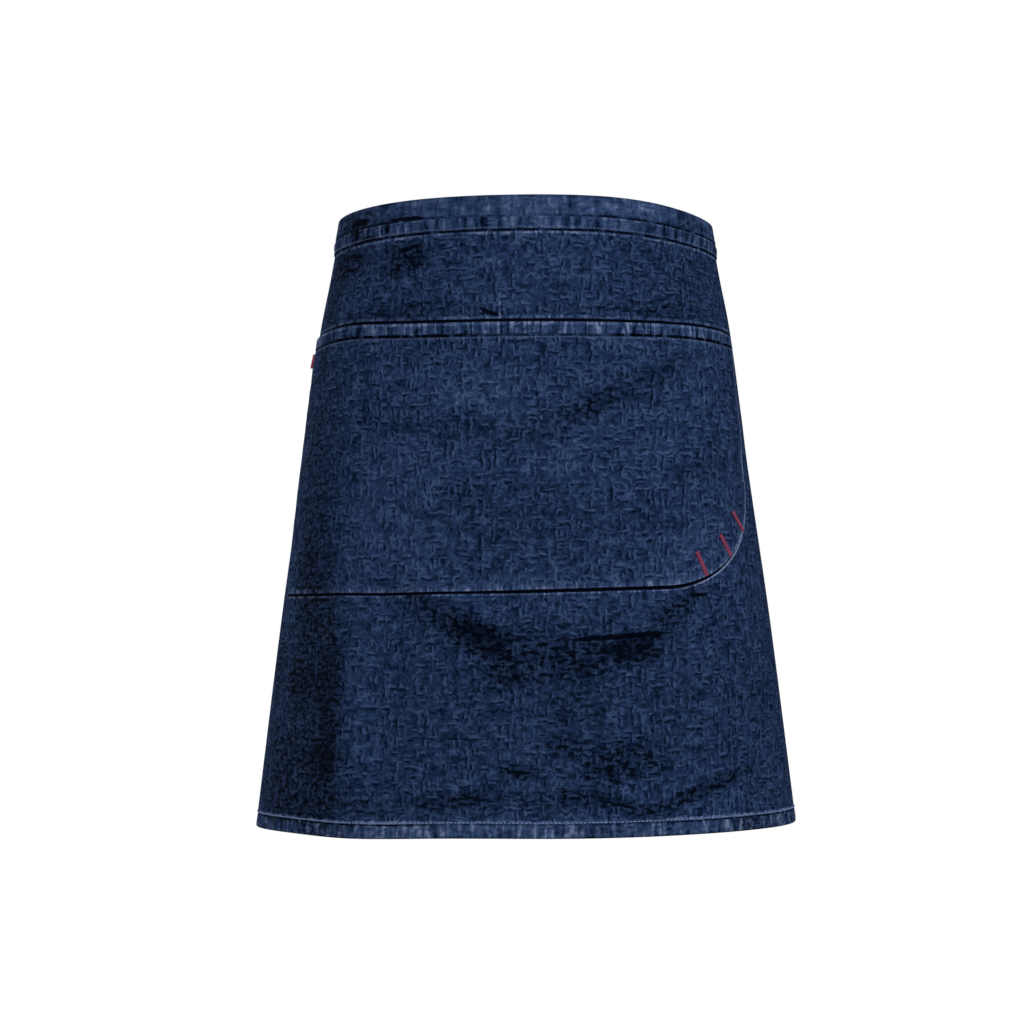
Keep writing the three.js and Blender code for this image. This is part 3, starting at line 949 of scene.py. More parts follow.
def panel_denim(layout, colours):
    """Denim of the panel, with the marks of the hem, the waistband's edge and the pocket's edge: painted
    shadow lines along them, and painted highlight lines beside.
    """
    cloth = DenimCloth("panel_denim", colours)
    sheet, x, y = cloth.sheet, cloth.across, cloth.height
    sizes = layout.sizes
    # Painted shadows of the creases.
    cloth.creases(layout.hem, layout.waistband_bottom)
    cloth.rub(-7.0, -90.0, -66.0)
    hem = layout.hem * TO_MM
    hem_seam = layout.hem_seam * TO_MM
    strip = 1.0 - sheet.rise(y, hem_seam - 1.4, hem_seam - 0.6)
    cloth.calm(strip * 0.5)
    blocks = 0.7 * cloth.bars(7.0, 11.0) - 0.8 * cloth.ticks(9.0, 31.0) + cloth.ticks(12.0, 57.0)
    puckers = sheet.noise(x / 5.0 + 19.0, y / 4.0, 1.0) - 0.5
    cloth.lighten(strip * (0.65 + 0.7 * blocks + 2.2 * puckers))
    # Painted shadow in the groove under the hem's seam, broken and weaker in the middle.
    middle = sheet.between(x, -55.0, 110.0, 25.0)
    dashes = cloth.broken(7.0, 8.0, 0.1) * (1.0 - 0.45 * middle)
    cloth.darken(sheet.between(y, hem_seam - 2.0, hem_seam - 1.2, 0.4) * dashes)
    # Painted shade along the hem's rounded bottom edge.
    cloth.darken(0.7 * (1.0 - sheet.rise(y, hem + 0.4, hem + 1.4)))
    # Dark blotches on the hem's strip towards the left end.
    dark_blotches = sheet.rise(sheet.noise(x / 11.0 + 77.0, y / 12.0), 0.55, 0.66)
    cloth.darken(0.65 * strip * dark_blotches * (1.0 - sheet.rise(x, -150.0, -90.0)))
    # A light line just above the hem's seam: worn ridge and painted highlight.
    worn_and_lit_edge = cloth.broken(5.0, 13.0, 0.3) * (1.7 - 0.6 * middle)
    cloth.lighten(sheet.line(y, hem_seam + 0.4, 0.9, 0.7) * worn_and_lit_edge)
    # Painted shadow under the waistband's lower edge, and a painted highlight line below it.
    band_edge = layout.waistband_bottom * TO_MM
    cloth.darken(sheet.between(y, band_edge - 1.0, band_edge + 1.0, 0.4) * cloth.broken(11.0, 2.0, 0.0))
    cloth.lighten(sheet.line(y, band_edge - 2.4, 0.6, 0.7) * cloth.broken(12.0, 17.0, 0.2) * 1.3)
    # Painted shadow along the pocket's mouth, across the pocket's width, and a painted highlight line above
    # it.
    mouth = layout.pocket_mouth * TO_MM
    edge = layout.pocket_edge * TO_MM
    under_mouth = 1.0 - sheet.rise(abs(x), edge, edge + 1.0)
    cloth.darken(sheet.between(y, mouth - 3.0, mouth + 2.8, 0.5) * under_mouth)
    halo = cloth.broken(8.0, 21.0, 0.25)
    cloth.lighten(sheet.line(y, mouth + 4.6, 0.6, 1.0) * under_mouth * halo)
    # Painted shadow on the panel just outside the pocket's sides, bottom and corner, narrower round the
    # corner and at the left.
    power = sizes.corner_fullness
    start = layout.corner_start * TO_MM
    level = layout.pocket_bottom * TO_MM + sheet.rise(x, -start, start) * (sizes.pocket_rise * TO_MM)
    corner_height = sizes.corner_height * TO_MM
    right = (x - start).most(0.0) / (sizes.corner_width * TO_MM)
    down = (level + corner_height - y).most(0.0) / corner_height
    corner = ((right ** power + down ** power) ** (1.0 / power) - 1.0) * corner_height
    outside = corner.most(-edge - x)
    below_mouth = 1.0 - sheet.rise(y, mouth - 1.0, mouth)
    turning = sheet.rise(x, start, edge)
    gap = 2.3 - turning * 0.7 - (1.0 - sheet.rise(x, -40.0, 40.0)) * 0.7
    cloth.darken((1.0 - sheet.rise(outside, gap, gap + 0.5)) * sheet.rise(outside, -4.0, -3.0) * below_mouth)
    # Painted highlight line beyond the pocket's shadow, brighter round the corner.
    painted_highlight_line = 1.0 - sheet.rise(abs(outside - gap - 1.1), 0.4 + turning * 0.2, 0.9 + turning * 0.3)
    cloth.lighten(painted_highlight_line * below_mouth * (halo * 1.2 + turning * 2.4))
    return cloth.finish()


def pocket_denim(layout, colours):
    """Denim of the pocket, with the marks of its mouth hem and its turned edges, among them painted shadow in
    the mouth seam's groove and painted highlights along its edges.
    """
    cloth = DenimCloth("pocket_denim", colours)
    sheet, x, y = cloth.sheet, cloth.across, cloth.height
    cloth.rub(-7.0, -106.0, -88.0)
    mouth = layout.pocket_mouth * TO_MM
    seam = layout.mouth_seam * TO_MM
    strip = sheet.rise(y, seam - 0.3, seam + 0.8)
    cloth.calm(strip * 0.35)
    marks = 0.35 * cloth.bars(8.0, 3.0) + 1.0 * cloth.ticks(7.5, 61.0) - 1.2 * cloth.ticks(9.0, 81.0)
    left_end = 1.0 - sheet.rise(x, -180.0, -140.0)
    cloth.lighten(strip * (0.3 + left_end * 1.1 + marks * (1.0 - left_end * 0.5)))
    # Painted highlight along the mouth's folded top edge.
    cloth.lighten(sheet.between(y, mouth - 2.2, mouth, 0.6) * cloth.broken(9.0, 47.0, 0.3))
    # Painted shadow in the groove of the mouth hem's seam, weaker in the middle and at the left end.
    dashes = cloth.broken(8.0, 2.0, 0.2) * (1.0 - 0.6 * sheet.between(x, -28.0, 75.0, 12.0))
    cloth.darken(sheet.between(y, seam - 1.1, seam + 0.7, 0.4) * dashes * (1.0 - left_end * 0.35))
    # A light line under the seam: worn ridge and painted highlight.
    cloth.lighten(sheet.line(y, seam - 2.4, 0.4, 0.6) * cloth.broken(5.0, 27.0, 0.1) * 0.7)
    inset = sheet.mark("inset") * TO_MM
    rim = (1.0 - sheet.rise(inset, 1.5, 7.0)) * (1.0 - strip)
    cloth.calm(rim * 0.4)
    cloth.lighten(rim * (0.55 + 0.5 * cloth.bars(5.5, 9.0) + 0.6 * cloth.ticks(6.0, 71.0)))
    # A lighter rim at the pocket's very edge: wear, and a painted highlight that grows round the corner.
    turning = sheet.rise(x, layout.corner_start * TO_MM, layout.pocket_edge * TO_MM)
    cloth.lighten((1.0 - sheet.rise(inset, 0.8, 1.6 + turning * 1.5)) * (0.3 + turning))
    return cloth.finish()


def waistband_denim(layout, colours):
    """Denim of the waistband, with the painted shadow of the groove between its two strips and of its lower
    edge, and the painted shadows of its creases.
    """
    cloth = DenimCloth("waistband_denim", colours)
    sheet, y = cloth.sheet, cloth.height
    band_edge = layout.waistband_bottom * TO_MM
    seam = layout.band_seam * TO_MM
    cloth.calm(0.4)
    lower = sheet.between(y, band_edge, seam - 1.0, 0.6)
    blocks = 0.6 * cloth.bars(6.0, 6.0) + 0.5 * cloth.ticks(8.0, 16.0) - 0.7 * cloth.ticks(14.0, 66.0)
    cloth.lighten(lower * (0.25 + blocks))
    # Painted shadows of the waistband's creases.
    cloth.creases(layout.waistband_bottom, layout.waist_top)
    upper = sheet.rise(y, seam + 0.5, seam + 2.0)
    patchy = sheet.noise(cloth.across / 14.0 + 8.0, y / 7.0, 1.5) - 0.5
    cloth.lighten(upper * (0.4 + 0.35 * cloth.bars(7.0, 36.0) + 2.4 * patchy))
    # Painted shadow in the groove above the seam, weaker in the middle.
    sides = 1.0 - 0.8 * sheet.between(cloth.across, -62.0, 58.0, 16.0)
    cloth.darken(sheet.between(y, seam, seam + 1.4, 0.6) * cloth.broken(12.0, 4.0, 0.0) * sides * 0.85)
    # A light line under the seam: worn ridge and painted highlight, weaker in the middle.
    cloth.lighten(sheet.line(y, seam - 1.0, 0.5, 0.6) * cloth.broken(9.0, 44.0, 0.1) * sides * 0.9)
    # A light line just above the lower edge: worn ridge and painted highlight.
    cloth.lighten(sheet.line(y, band_edge + 1.6, 0.4, 0.6) * cloth.broken(9.0, 54.0, 0.0) * 0.6)
    # Painted shade along the waistband's lower edge.
    cloth.darken((1.0 - sheet.rise(y, band_edge, band_edge + 0.9)) * cloth.broken(11.0, 2.0, 0.0))
    return cloth.finish()


def tie_denim(colours):
    """Denim of the tie."""
    cloth = DenimCloth("tie_denim", colours)
    cloth.lighten(0.15 + 0.3 * cloth.bars(6.0, 14.0))
    return cloth.finish()


PLY_SCALE = 1400.0
RIB_PITCH = 0.0005
RIBBON_YARN_PITCH = 0.0007


def darker(tint, share):
    """A share of a colour."""
    return tuple(share * part for part in tint)


def thread_material(name, tint, gloss):
    """Twisted thread with light and dark plies."""
    material, sheet = new_material(name)
    place = sheet.node("ShaderNodeTexCoord", None, None, output="Object")
    values = {"Vector": place, "Scale": PLY_SCALE, "Detail": 2.0}
    plies = sheet.node("ShaderNodeTexNoise", None, values)
    base = sheet.mix(sheet.rise(plies, 0.35, 0.65), solid(darker(tint, 0.55)), solid(tint))
    finish_material(sheet, base, 0.85 - 0.2 * plies, plies, 0.0001, specular=gloss)
    return material


def ribbon_material(tint):
    """Plain woven ribbon with fine cross ribs."""
    material, sheet = new_material("red_ribbon")
    chart = sheet.node("ShaderNodeUVMap", {"uv_map": CLOTH_MAP})
    along, up = sheet.split(chart)
    weave = sheet.sine(along, RIB_PITCH) * sheet.sine(up, RIBBON_YARN_PITCH)
    base = sheet.mix(weave * 0.5 + 0.5, solid(darker(tint, 0.6)), solid(tint))
    finish_material(sheet, base, 0.7 - 0.1 * weave, weave, 0.00008, specular=0.2)
    return material


# Threads by geometry nodes
BEAD = {"Segments": 6, "Rings": 5, "Radius": 0.5}
UNEVEN_STITCH = {"Min": (0.85, 0.85, 0.8), "Max": (1.15, 1.15, 1.08), "Seed": 5}
TUBE_SIDES = 6


def thread_tree(name, inputs):
    """An empty tree with named inputs; returns its sheet and the identifier and wire of each input."""
    tree = bpy.data.node_groups.new(name, "GeometryNodeTree")
    sockets = {"Geometry": "NodeSocketGeometry", **inputs}
    made = {}
    for title, kind in sockets.items():
        made[title] = tree.interface.new_socket(title, in_out="INPUT", socket_type=kind).identifier
    tree.interface.new_socket("Geometry", in_out="OUTPUT", socket_type="NodeSocketGeometry")
    sheet = NodeSheet(tree)
    entry = tree.nodes.new("NodeGroupInput")
    wires = {title: Wire(sheet, entry.outputs[title]) for title in sockets}
    return sheet, made, wires


def end_tree(sheet, geometry, material):
    """Smooth, realized geometry with its material, to the tree's output."""
    smooth = sheet.node("GeometryNodeSetShadeSmooth", None, {"Geometry": geometry})
    real = sheet.node("GeometryNodeRealizeInstances", None, {"Geometry": smooth})
    done = sheet.node("GeometryNodeSetMaterial", None, {"Geometry": real, "Material": material})
    sheet.node("NodeGroupOutput", None, {"Geometry": done})


def stitch_tree():
    """Rows of sewn stitches: one long bead of thread at every pitch along the paths."""
    inputs = {
        "Pitch": "NodeSocketFloat",
        "Stitch length": "NodeSocketFloat",
        "Thread width": "NodeSocketFloat",
        "Thread": "NodeSocketMaterial",
    }
    sheet, made, wires = thread_tree("stitch_rows", inputs)
    curve = sheet.node("GeometryNodeMeshToCurve", None, {"Mesh": wires["Geometry"]})
    spaced = {"Curve": curve, "Length": wires["Pitch"]}
    points = sheet.node("GeometryNodeCurveToPoints", {"mode": "LENGTH"}, spaced)
    turn = Wire(sheet, points.socket.node.outputs["Rotation"])
    bead = sheet.node("GeometryNodeMeshUVSphere", None, BEAD)
    size_values = {"X": wires["Thread width"], "Y": wires["Thread width"], "Z": wires["Stitch length"]}
    size = sheet.node("ShaderNodeCombineXYZ", None, size_values)
    uneven = sheet.node("FunctionNodeRandomValue", {"data_type": "FLOAT_VECTOR"}, UNEVEN_STITCH)
    scale = sheet.node("ShaderNodeVectorMath", {"operation": "MULTIPLY"}, {0: size, 1: uneven})
    placed_values = {"Points": points, "Instance": bead, "Rotation": turn, "Scale": scale}
    placed = sheet.node("GeometryNodeInstanceOnPoints", None, placed_values)
    end_tree(sheet, placed, wires["Thread"])
    return sheet.tree, made


def satin_tree():
    """Thread laid along a path, as a round tube."""
    inputs = {"Thread width": "NodeSocketFloat", "Thread": "NodeSocketMaterial"}
    sheet, made, wires = thread_tree("satin_thread", inputs)
    curve = sheet.node("GeometryNodeMeshToCurve", None, {"Mesh": wires["Geometry"]})
    ring_values = {"Resolution": TUBE_SIDES, "Radius": wires["Thread width"] * 0.5}
    ring = sheet.node("GeometryNodeCurvePrimitiveCircle", None, ring_values)
    tube_values = {"Curve": curve, "Profile Curve": ring, "Fill Caps": True}
    tube = sheet.node("GeometryNodeCurveToMesh", None, tube_values)
    end_tree(sheet, tube, wires["Thread"])
    return sheet.tree, made


def sew(name, paths, tree_and_sockets, values):
    """Runs a thread tree along paths of points and keeps the result as a plain mesh."""
    points = np.concatenate(paths)
    edges = []
    start = 0
    for path in paths:
        edges += [(start + step, start + step + 1) for step in range(len(path) - 1)]
        start += len(path)
    mesh = bpy.data.meshes.new(name + "_paths")
    mesh.from_pydata(points.tolist(), edges, [])
    guide = bpy.data.objects.new(name + "_guide", mesh)
    bpy.context.scene.collection.objects.link(guide)
    tree, sockets = tree_and_sockets
    modifier = guide.modifiers.new("Threads", "NODES")
    modifier.node_group = tree
    for title, value in values.items():
        modifier[sockets[title]] = value
    depsgraph = bpy.context.evaluated_depsgraph_get()
    sewn = bpy.data.meshes.new_from_object(guide.evaluated_get(depsgraph))
    guide.modifiers.remove(modifier)
    bpy.data.objects.remove(guide)
    sewn.name = name
    if not sewn.polygons:
        raise RuntimeError(f"no thread was made for {name}")
    made = bpy.data.objects.new(name, sewn)
    bpy.context.scene.collection.objects.link(made)
    return made


def sew_stitches(name, paths, sizes, material, width=None):
    """Rows of stitches along paths."""
    values = {
        "Pitch": sizes.stitch_pitch,
        "Stitch length": sizes.stitch_length,
        "Thread width": width or sizes.thread_width,
        "Thread": material,
    }
    return sew(name, paths, stitch_tree(), values)


# Pieces
HEM_PUCKER = 0.00035
SEAM_GROOVE = 0.0004
GROOVE_WIDTH = 0.0008
PUCKER_SPACING = 0.0055
PUCKER_LEAN = 0.35
HEM_STEP = 0.0012
ROW_STEP = 0.0015
ROW_END = 0.002
INSIDE_ROW = 0.001
THREAD_PROUD = 0.2
THREAD_GLOSS = 0.2
TACK_GLOSS = 0.3

# Steps of the grids
COLUMN = 0.002
PANEL_COLUMN = 0.0024
SEAM_COLUMN = 0.0006
SEAM_ROW = 0.0005
HEM_ROW = 0.0015
OPEN_ROW = 0.003
COVERED_ROW = 0.006
HIDDEN_ROW = 0.010

# Seeds of the uneven waves
HEM_SEED = 21
SIDE_SEED = 22
BAND_SEED = 31
BAND_TOP_SEED = 32
MOUTH_SEED = 41
RIM_SEED = 42
TACK_SEED = 60
TIE_SEED = 71


def level_row(start, end, height, lift):
    """Points along the cloth at one height."""
    across = np.arange(start, end, ROW_STEP)
    return FORM.cloth_points(across, np.full_like(across, height), np.full_like(across, lift))


def upright_row(low, high, across, lift):
    """Points up the cloth at one distance across."""
    height = np.arange(low, high, ROW_STEP)
    return FORM.cloth_points(np.full_like(height, across), height, np.full_like(height, lift))


HEM_SEAM_REACH = 0.0015
MOUTH_VIEW = 0.004
SIDE_HEM_START = 0.002
SIDE_PUCKER_SHARE = 0.6
HEM_GROOVE_DROP = 0.0007
PUCKER_WEAR = 0.35


def make_panel(layout, colours):
    """The panel: one layer of denim, turned inwards along its bottom and sides."""
    sizes = layout.sizes
    edge_steps = np.array(EDGE_STEPS)
    seam_lines = layout.side_seam + np.arange(-2, 3) * SEAM_COLUMN
    side_lines = np.concatenate((layout.panel_edge - edge_steps, seam_lines))
    columns = grid_lines((-layout.panel_edge, layout.panel_edge, PANEL_COLUMN), side_lines, -side_lines)
    rows = grid_lines(
        layout.hem + edge_steps,
        (layout.hem + EDGE_REACH, layout.hem_seam - HEM_SEAM_REACH, HEM_ROW),
        (layout.hem_seam - HEM_SEAM_REACH, layout.hem_seam + HEM_SEAM_REACH, SEAM_ROW),
        (layout.hem_seam + OPEN_ROW, layout.pocket_bottom, OPEN_ROW),
        (layout.pocket_bottom, layout.pocket_mouth - MOUTH_VIEW, HIDDEN_ROW),
        (layout.pocket_mouth - MOUTH_VIEW, layout.waistband_bottom, OPEN_ROW),
        (layout.waistband_bottom, layout.panel_top - EDGE_REACH, COVERED_ROW),
        layout.panel_top - edge_steps,
    )
    across, height = np.meshgrid(columns, rows)
    in_strip = smoothstep(layout.hem_seam - height, 0.0, HEM_STEP)
    below_band = smoothstep(layout.waistband_bottom - height, 0.0, SIDE_HEM_START)
    in_side = smoothstep(np.abs(across) - layout.side_seam, 0.0, HEM_STEP) * below_band
    turned = np.maximum(in_strip, in_side)
    wall = sizes.denim + (sizes.turned_hem - sizes.denim) * turned
    from_bottom = height - layout.hem
    puckers = waves(across + PUCKER_LEAN * from_bottom, PUCKER_SPACING, HEM_SEED)
    side_puckers = waves(height + PUCKER_LEAN * np.abs(across), PUCKER_SPACING, SIDE_SEED)
    swell = in_strip * bell(from_bottom, sizes.hem_width / 2, sizes.hem_width / 2)
    relief = HEM_PUCKER * (puckers * swell + side_puckers * in_side * SIDE_PUCKER_SHARE)
    relief -= SEAM_GROOVE * bell(height, layout.hem_seam - HEM_GROOVE_DROP, GROOVE_WIDTH)
    relief -= SEAM_GROOVE * bell(np.abs(across), layout.side_seam, GROOVE_WIDTH) * below_band
    from_side = layout.panel_edge - np.abs(across)
    to_edge = np.minimum(np.minimum(from_bottom, from_side), layout.panel_top - height)
    half = wall / 2 * edge_fullness(to_edge, wall)
    middle = -wall / 2
    # Uneven dye, with painted shade and painted light, from the patch table.
    fade = dye_and_shade_tone(across, height)
    wear = PUCKER_WEAR * puckers * swell
    faces = [(across, height, middle + relief + half), (across, height, middle - half)]
    material = panel_denim(layout, colours)
    panel = closed_sheet("apron_panel", *faces, (across, height), cloth_marks(fade, wear), material)
    hem_thread = thread_material("hem_thread", colours.hem_thread, THREAD_GLOSS)
    seam_thread = thread_material("side_thread", colours.seam_thread, THREAD_GLOSS)
    proud = sizes.thread_width * THREAD_PROUD
    inside = -sizes.turned_hem - proud
    ends = layout.panel_edge - ROW_END
    hem_rows = []
    side_rows = []
    for inset, lift in ((0.0, proud), (INSIDE_ROW, inside)):
        hem_rows.append(level_row(-ends, ends, layout.hem_seam - inset, lift))
    for side in (-1, 1):
        for inset, lift in ((0.0, proud), (INSIDE_ROW, inside)):
            place = side * (layout.side_seam + inset)
            side_rows.append(upright_row(layout.hem + ROW_END, layout.waistband_bottom, place, lift))
    stitches = sew_stitches("hem_stitches", hem_rows, sizes, hem_thread, sizes.hem_thread_width)
    side_stitches = sew_stitches("side_hem_stitches", side_rows, sizes, seam_thread)
    settle(panel, "body_panel")
    settle(stitches)
    settle(side_stitches)


BAND_SINK = 0.00075
BAND_THINNING = 0.54
BAND_PRESS = 0.007
BAND_EDGE_ROW = 0.0015
BAND_WAVES = 0.008
BAND_ROW = 0.001
BAND_INSIDE_ROW = 0.002
BAND_INSIDE_SHORTER = 0.002
BAND_PUCKER = 0.0004
BAND_TOP_PUCKER = 0.00025
LOWER_SWELL = 0.004
UPPER_SWELL = 0.006
BAND_GROOVE_WIDTH = 0.001
THIN_GROOVE_WIDTH = 0.0007


def band_press(run):
    """How far the waistband is pressed flat at a distance from its lower edge."""
    return 1.0 - smoothstep(np.asarray(run), 0.0, BAND_PRESS)


def make_waistband(layout, colours):
    """The waistband: one strip of denim folded over the panel's top edge."""
    sizes = layout.sizes
    half_layer = sizes.waistband_layer / 2
    outer_middle = sizes.slot_gap + half_layer
    inner_middle = -sizes.denim - sizes.slot_gap - half_layer
    fold_radius = (outer_middle - inner_middle) / 2
    fold_lift = (outer_middle + inner_middle) / 2
    fold_height = layout.waist_top - half_layer - fold_radius
    outer_leg = fold_height - layout.waistband_bottom
    bend = math.pi * fold_radius
    inner_leg = outer_leg - BAND_INSIDE_SHORTER
    whole = outer_leg + bend + inner_leg
    edge_steps = np.array(EDGE_STEPS[:-1])
    runs = grid_lines(
        edge_steps,
        (BAND_ROW, outer_leg, BAND_ROW),
        (outer_leg, outer_leg + bend, SEAM_ROW),
        (outer_leg + bend, whole - BAND_ROW, BAND_INSIDE_ROW),
        whole - edge_steps,
    )
    columns = grid_lines(
        (-layout.panel_edge, layout.panel_edge, COLUMN),
        layout.panel_edge - edge_steps,
        edge_steps - layout.panel_edge,
    )
    across, run = np.meshgrid(columns, runs)
    angle = np.clip((run - outer_leg) / fold_radius, 0.0, math.pi)
    down = np.maximum(run - outer_leg - bend, 0.0)
    up = np.minimum(run, outer_leg)
    middle_height = layout.waistband_bottom + up + fold_radius * np.sin(angle) - down
    middle_lift = fold_lift + fold_radius * np.cos(angle)
    chart_height = layout.waistband_bottom + run
    to_edge = np.minimum(np.minimum(run, whole - run), layout.panel_edge - np.abs(across))
    pressed = band_press(run)
    half = half_layer * edge_fullness(to_edge, sizes.waistband_layer) * (1.0 - BAND_THINNING * pressed)
    middle_lift = middle_lift - BAND_SINK * pressed
    left_pull = 0.7 + 0.6 * smoothstep(-across, 0.04, 0.14)
    puckers = waves(across, PUCKER_SPACING, BAND_SEED) * left_pull
    top_puckers = waves(across, BAND_WAVES, BAND_TOP_SEED)
    lower_strip = bell(chart_height, (layout.waistband_bottom + layout.band_seam) / 2, LOWER_SWELL)
    upper_strip = bell(chart_height, (layout.band_seam + layout.waist_top) / 2, UPPER_SWELL)
    relief = BAND_PUCKER * puckers * lower_strip + BAND_TOP_PUCKER * top_puckers * upper_strip
    relief -= SEAM_GROOVE * bell(chart_height, layout.band_seam, BAND_GROOVE_WIDTH)
    relief -= SEAM_GROOVE * 0.7 * bell(run, BAND_EDGE_ROW, THIN_GROOVE_WIDTH)
    lift_share = np.cos(angle)
    height_share = np.sin(angle)
    outside = half + relief
    faces = [
        (across, middle_height + outside * height_share, middle_lift + outside * lift_share),
        (across, middle_height - half * height_share, middle_lift - half * lift_share),
    ]
    # Uneven dye, with painted shade and painted light, from the patch table.
    fade = dye_and_shade_tone(across, middle_height) * (run < outer_leg)
    wear = 0.4 * puckers * lower_strip + 0.2 * top_puckers * upper_strip
    marks = cloth_marks(fade, wear)
    material = waistband_denim(layout, colours)
    band = closed_sheet("folded_waistband", *faces, (across, chart_height), marks, material)
    thread = thread_material("waistband_thread", colours.seam_thread, THREAD_GLOSS)
    pressed_in = (BAND_SINK + half_layer * BAND_THINNING) * float(band_press(BAND_EDGE_ROW))
    outer_lift = outer_middle + half_layer - pressed_in
    inner_lift = inner_middle - half_layer - sizes.thread_width * THREAD_PROUD
    ends = layout.panel_edge - ROW_END
    edge_row = layout.waistband_bottom + BAND_EDGE_ROW
    rows = [
        level_row(-ends, ends, edge_row, outer_lift),
        level_row(-ends, ends, layout.band_seam, inner_lift),
        level_row(-ends, ends, edge_row + ROW_END, inner_lift),
    ]
    stitches = sew_stitches("waistband_stitches", rows, sizes, thread)
    settle(band, "waistband")
    settle(stitches)


FLUSH_REACH = 0.05
FLUSH_SHARE = 0.7


def side_looseness(layout, across):
    """Share of the pocket's looseness, which falls towards its two sides, where it lies flush."""
    flush = smoothstep(np.abs(across), layout.pocket_edge - FLUSH_REACH, layout.pocket_edge)
    return 1.0 - FLUSH_SHARE * flush


def pocket_inner_lift(layout, across, height):
    """Lift of the pocket's inner face, which gapes at the mouth."""
    sizes = layout.sizes
    below = layout.pocket_mouth - height
    middle = 1.0 - (across / layout.pocket_edge) ** 2
    clearance = sizes.pocket_clearance * side_looseness(layout, across)
    return clearance + sizes.mouth_gape * middle * bell(below, 0.0, sizes.mouth_gape_depth)


CORNER_COLUMNS = 61
RIM_ROW = 0.0013
RIM_REACH = 0.012
RIM_PUCKER = 0.00025
RIM_RISE = 0.0004
RIM_SWELL = 0.004
RIM_WEAR = 0.3
MOUTH_SEAM_REACH = 0.002
MOUTH_PUCKER = 0.0003
MOUTH_SWELL = 0.005
MOUTH_GROOVE_WIDTH = 0.0009
MOUTH_ROW_END = 0.003
MOUTH_ROW_DROP = 0.0021
MOUTH_ROW_PROUD = 0.0002


def make_pocket(layout, colours):
    """The patch pocket, with a hemmed mouth, turned edges and one rounded corner."""
    sizes = layout.sizes
    edge_steps = np.array(EDGE_STEPS)
    turns = np.linspace(math.pi / 2, 0.0, CORNER_COLUMNS)
    corner_columns = layout.corner_start + sizes.corner_width * np.cos(turns) ** (2 / sizes.corner_fullness)
    columns = grid_lines(
        (-layout.pocket_edge, layout.corner_start, COLUMN), edge_steps - layout.pocket_edge, corner_columns
    )
    rows = grid_lines(
        layout.pocket_bottom + edge_steps,
        (layout.pocket_bottom + EDGE_REACH, layout.pocket_bottom + RIM_REACH, RIM_ROW),
        (layout.pocket_bottom + RIM_REACH, layout.mouth_seam - MOUTH_SEAM_REACH, OPEN_ROW),
        (layout.mouth_seam - MOUTH_SEAM_REACH, layout.mouth_seam + MOUTH_SEAM_REACH, SEAM_ROW),
        (layout.mouth_seam + MOUTH_SEAM_REACH, layout.pocket_mouth - EDGE_REACH, RIM_ROW),
        layout.pocket_mouth - edge_steps,
    )
    across, row = np.meshgrid(columns, rows)
    into = np.clip((across - layout.corner_start) / sizes.corner_width, 0.0, 1.0)
    power = sizes.corner_fullness
    corner_rise = sizes.corner_height * (1.0 - (1.0 - into ** power) ** (1.0 / power))
    bottom = pocket_level(layout, across) + corner_rise
    kept_row = layout.corner_top + RIM_REACH
    share = np.clip((kept_row - row) / (kept_row - layout.pocket_bottom), 0.0, None)
    height = np.where(share > 0.0, kept_row - share * (kept_row - bottom), row)
    from_outline = -pocket_outline(layout, across, height)
    from_mouth = layout.pocket_mouth - height
    hemmed = smoothstep(height, layout.mouth_seam - 0.0008, layout.mouth_seam + 0.0004)
    rim = 1.0 - smoothstep(from_outline, 0.006, 0.010)
    hem_layers = hemmed * side_looseness(layout, across)
    wall = sizes.denim + (sizes.mouth_hem - sizes.denim) * hem_layers
    to_edge = np.minimum(from_outline, from_mouth)
    mouth_puckers = waves(across, PUCKER_SPACING * 0.8, MOUTH_SEED)
    rim_puckers = waves(across + height, PUCKER_SPACING, RIM_SEED)
    mouth_swell = bell(from_mouth, sizes.mouth_hem_width / 2, MOUTH_SWELL)
    rim_swell = bell(from_outline, RIM_SWELL, RIM_SWELL) * (1.0 - hemmed)
    relief = MOUTH_PUCKER * mouth_puckers * mouth_swell + RIM_PUCKER * rim_puckers * rim_swell
    relief += RIM_RISE * rim * (1.0 - hemmed)
    relief -= SEAM_GROOVE * bell(height, layout.mouth_seam, MOUTH_GROOVE_WIDTH)
    half = wall / 2 * edge_fullness(to_edge, wall)
    middle = pocket_inner_lift(layout, across, height) + wall / 2
    # Uneven dye, with painted shade and painted light, from the patch table.
    fade = dye_and_shade_tone(across, height)
    wear = PUCKER_WEAR * mouth_puckers * mouth_swell + RIM_WEAR * rim_puckers * rim_swell
    marks = cloth_marks(fade, wear, inset=(from_outline, from_outline))
    faces = [
        (across, height, middle + half + relief * edge_fullness(to_edge, 0.002)),
        (across, height, middle - half),
    ]
    material = pocket_denim(layout, colours)
    pocket = closed_sheet("patch_pocket", *faces, (across, height), marks, material)
    thread = thread_material("pocket_thread", colours.seam_thread, THREAD_GLOSS)
    ends = layout.pocket_edge - MOUTH_ROW_END
    seam = np.arange(-ends, ends, ROW_STEP)
    seam_height = np.full_like(seam, layout.mouth_seam - MOUTH_ROW_DROP)
    face = pocket_inner_lift(layout, seam, seam_height) + sizes.denim + MOUTH_ROW_PROUD
    stitches = sew_stitches("pocket_stitches", [FORM.cloth_points(seam, seam_height, face)], sizes, thread)
    settle(pocket, "pocket")
    settle(stitches)


class Tack(NamedTuple):
    """A bar tack: its turn round the corner from the upper end, and the bar's lean from upright."""
    number: int
    turn: float
    lean: float


TACKS = (Tack(1, 67, 25), Tack(2, 47.5, 34.5), Tack(3, 29, 43))
SATIN_PITCH = 0.00062
SATIN_WIDTH = 0.00072
SATIN_SLANT = 0.8
SATIN_POINTS = 6
SATIN_UNEVEN = 0.06
TACK_CROWN = 0.0009
TACK_GAP = 0.00035


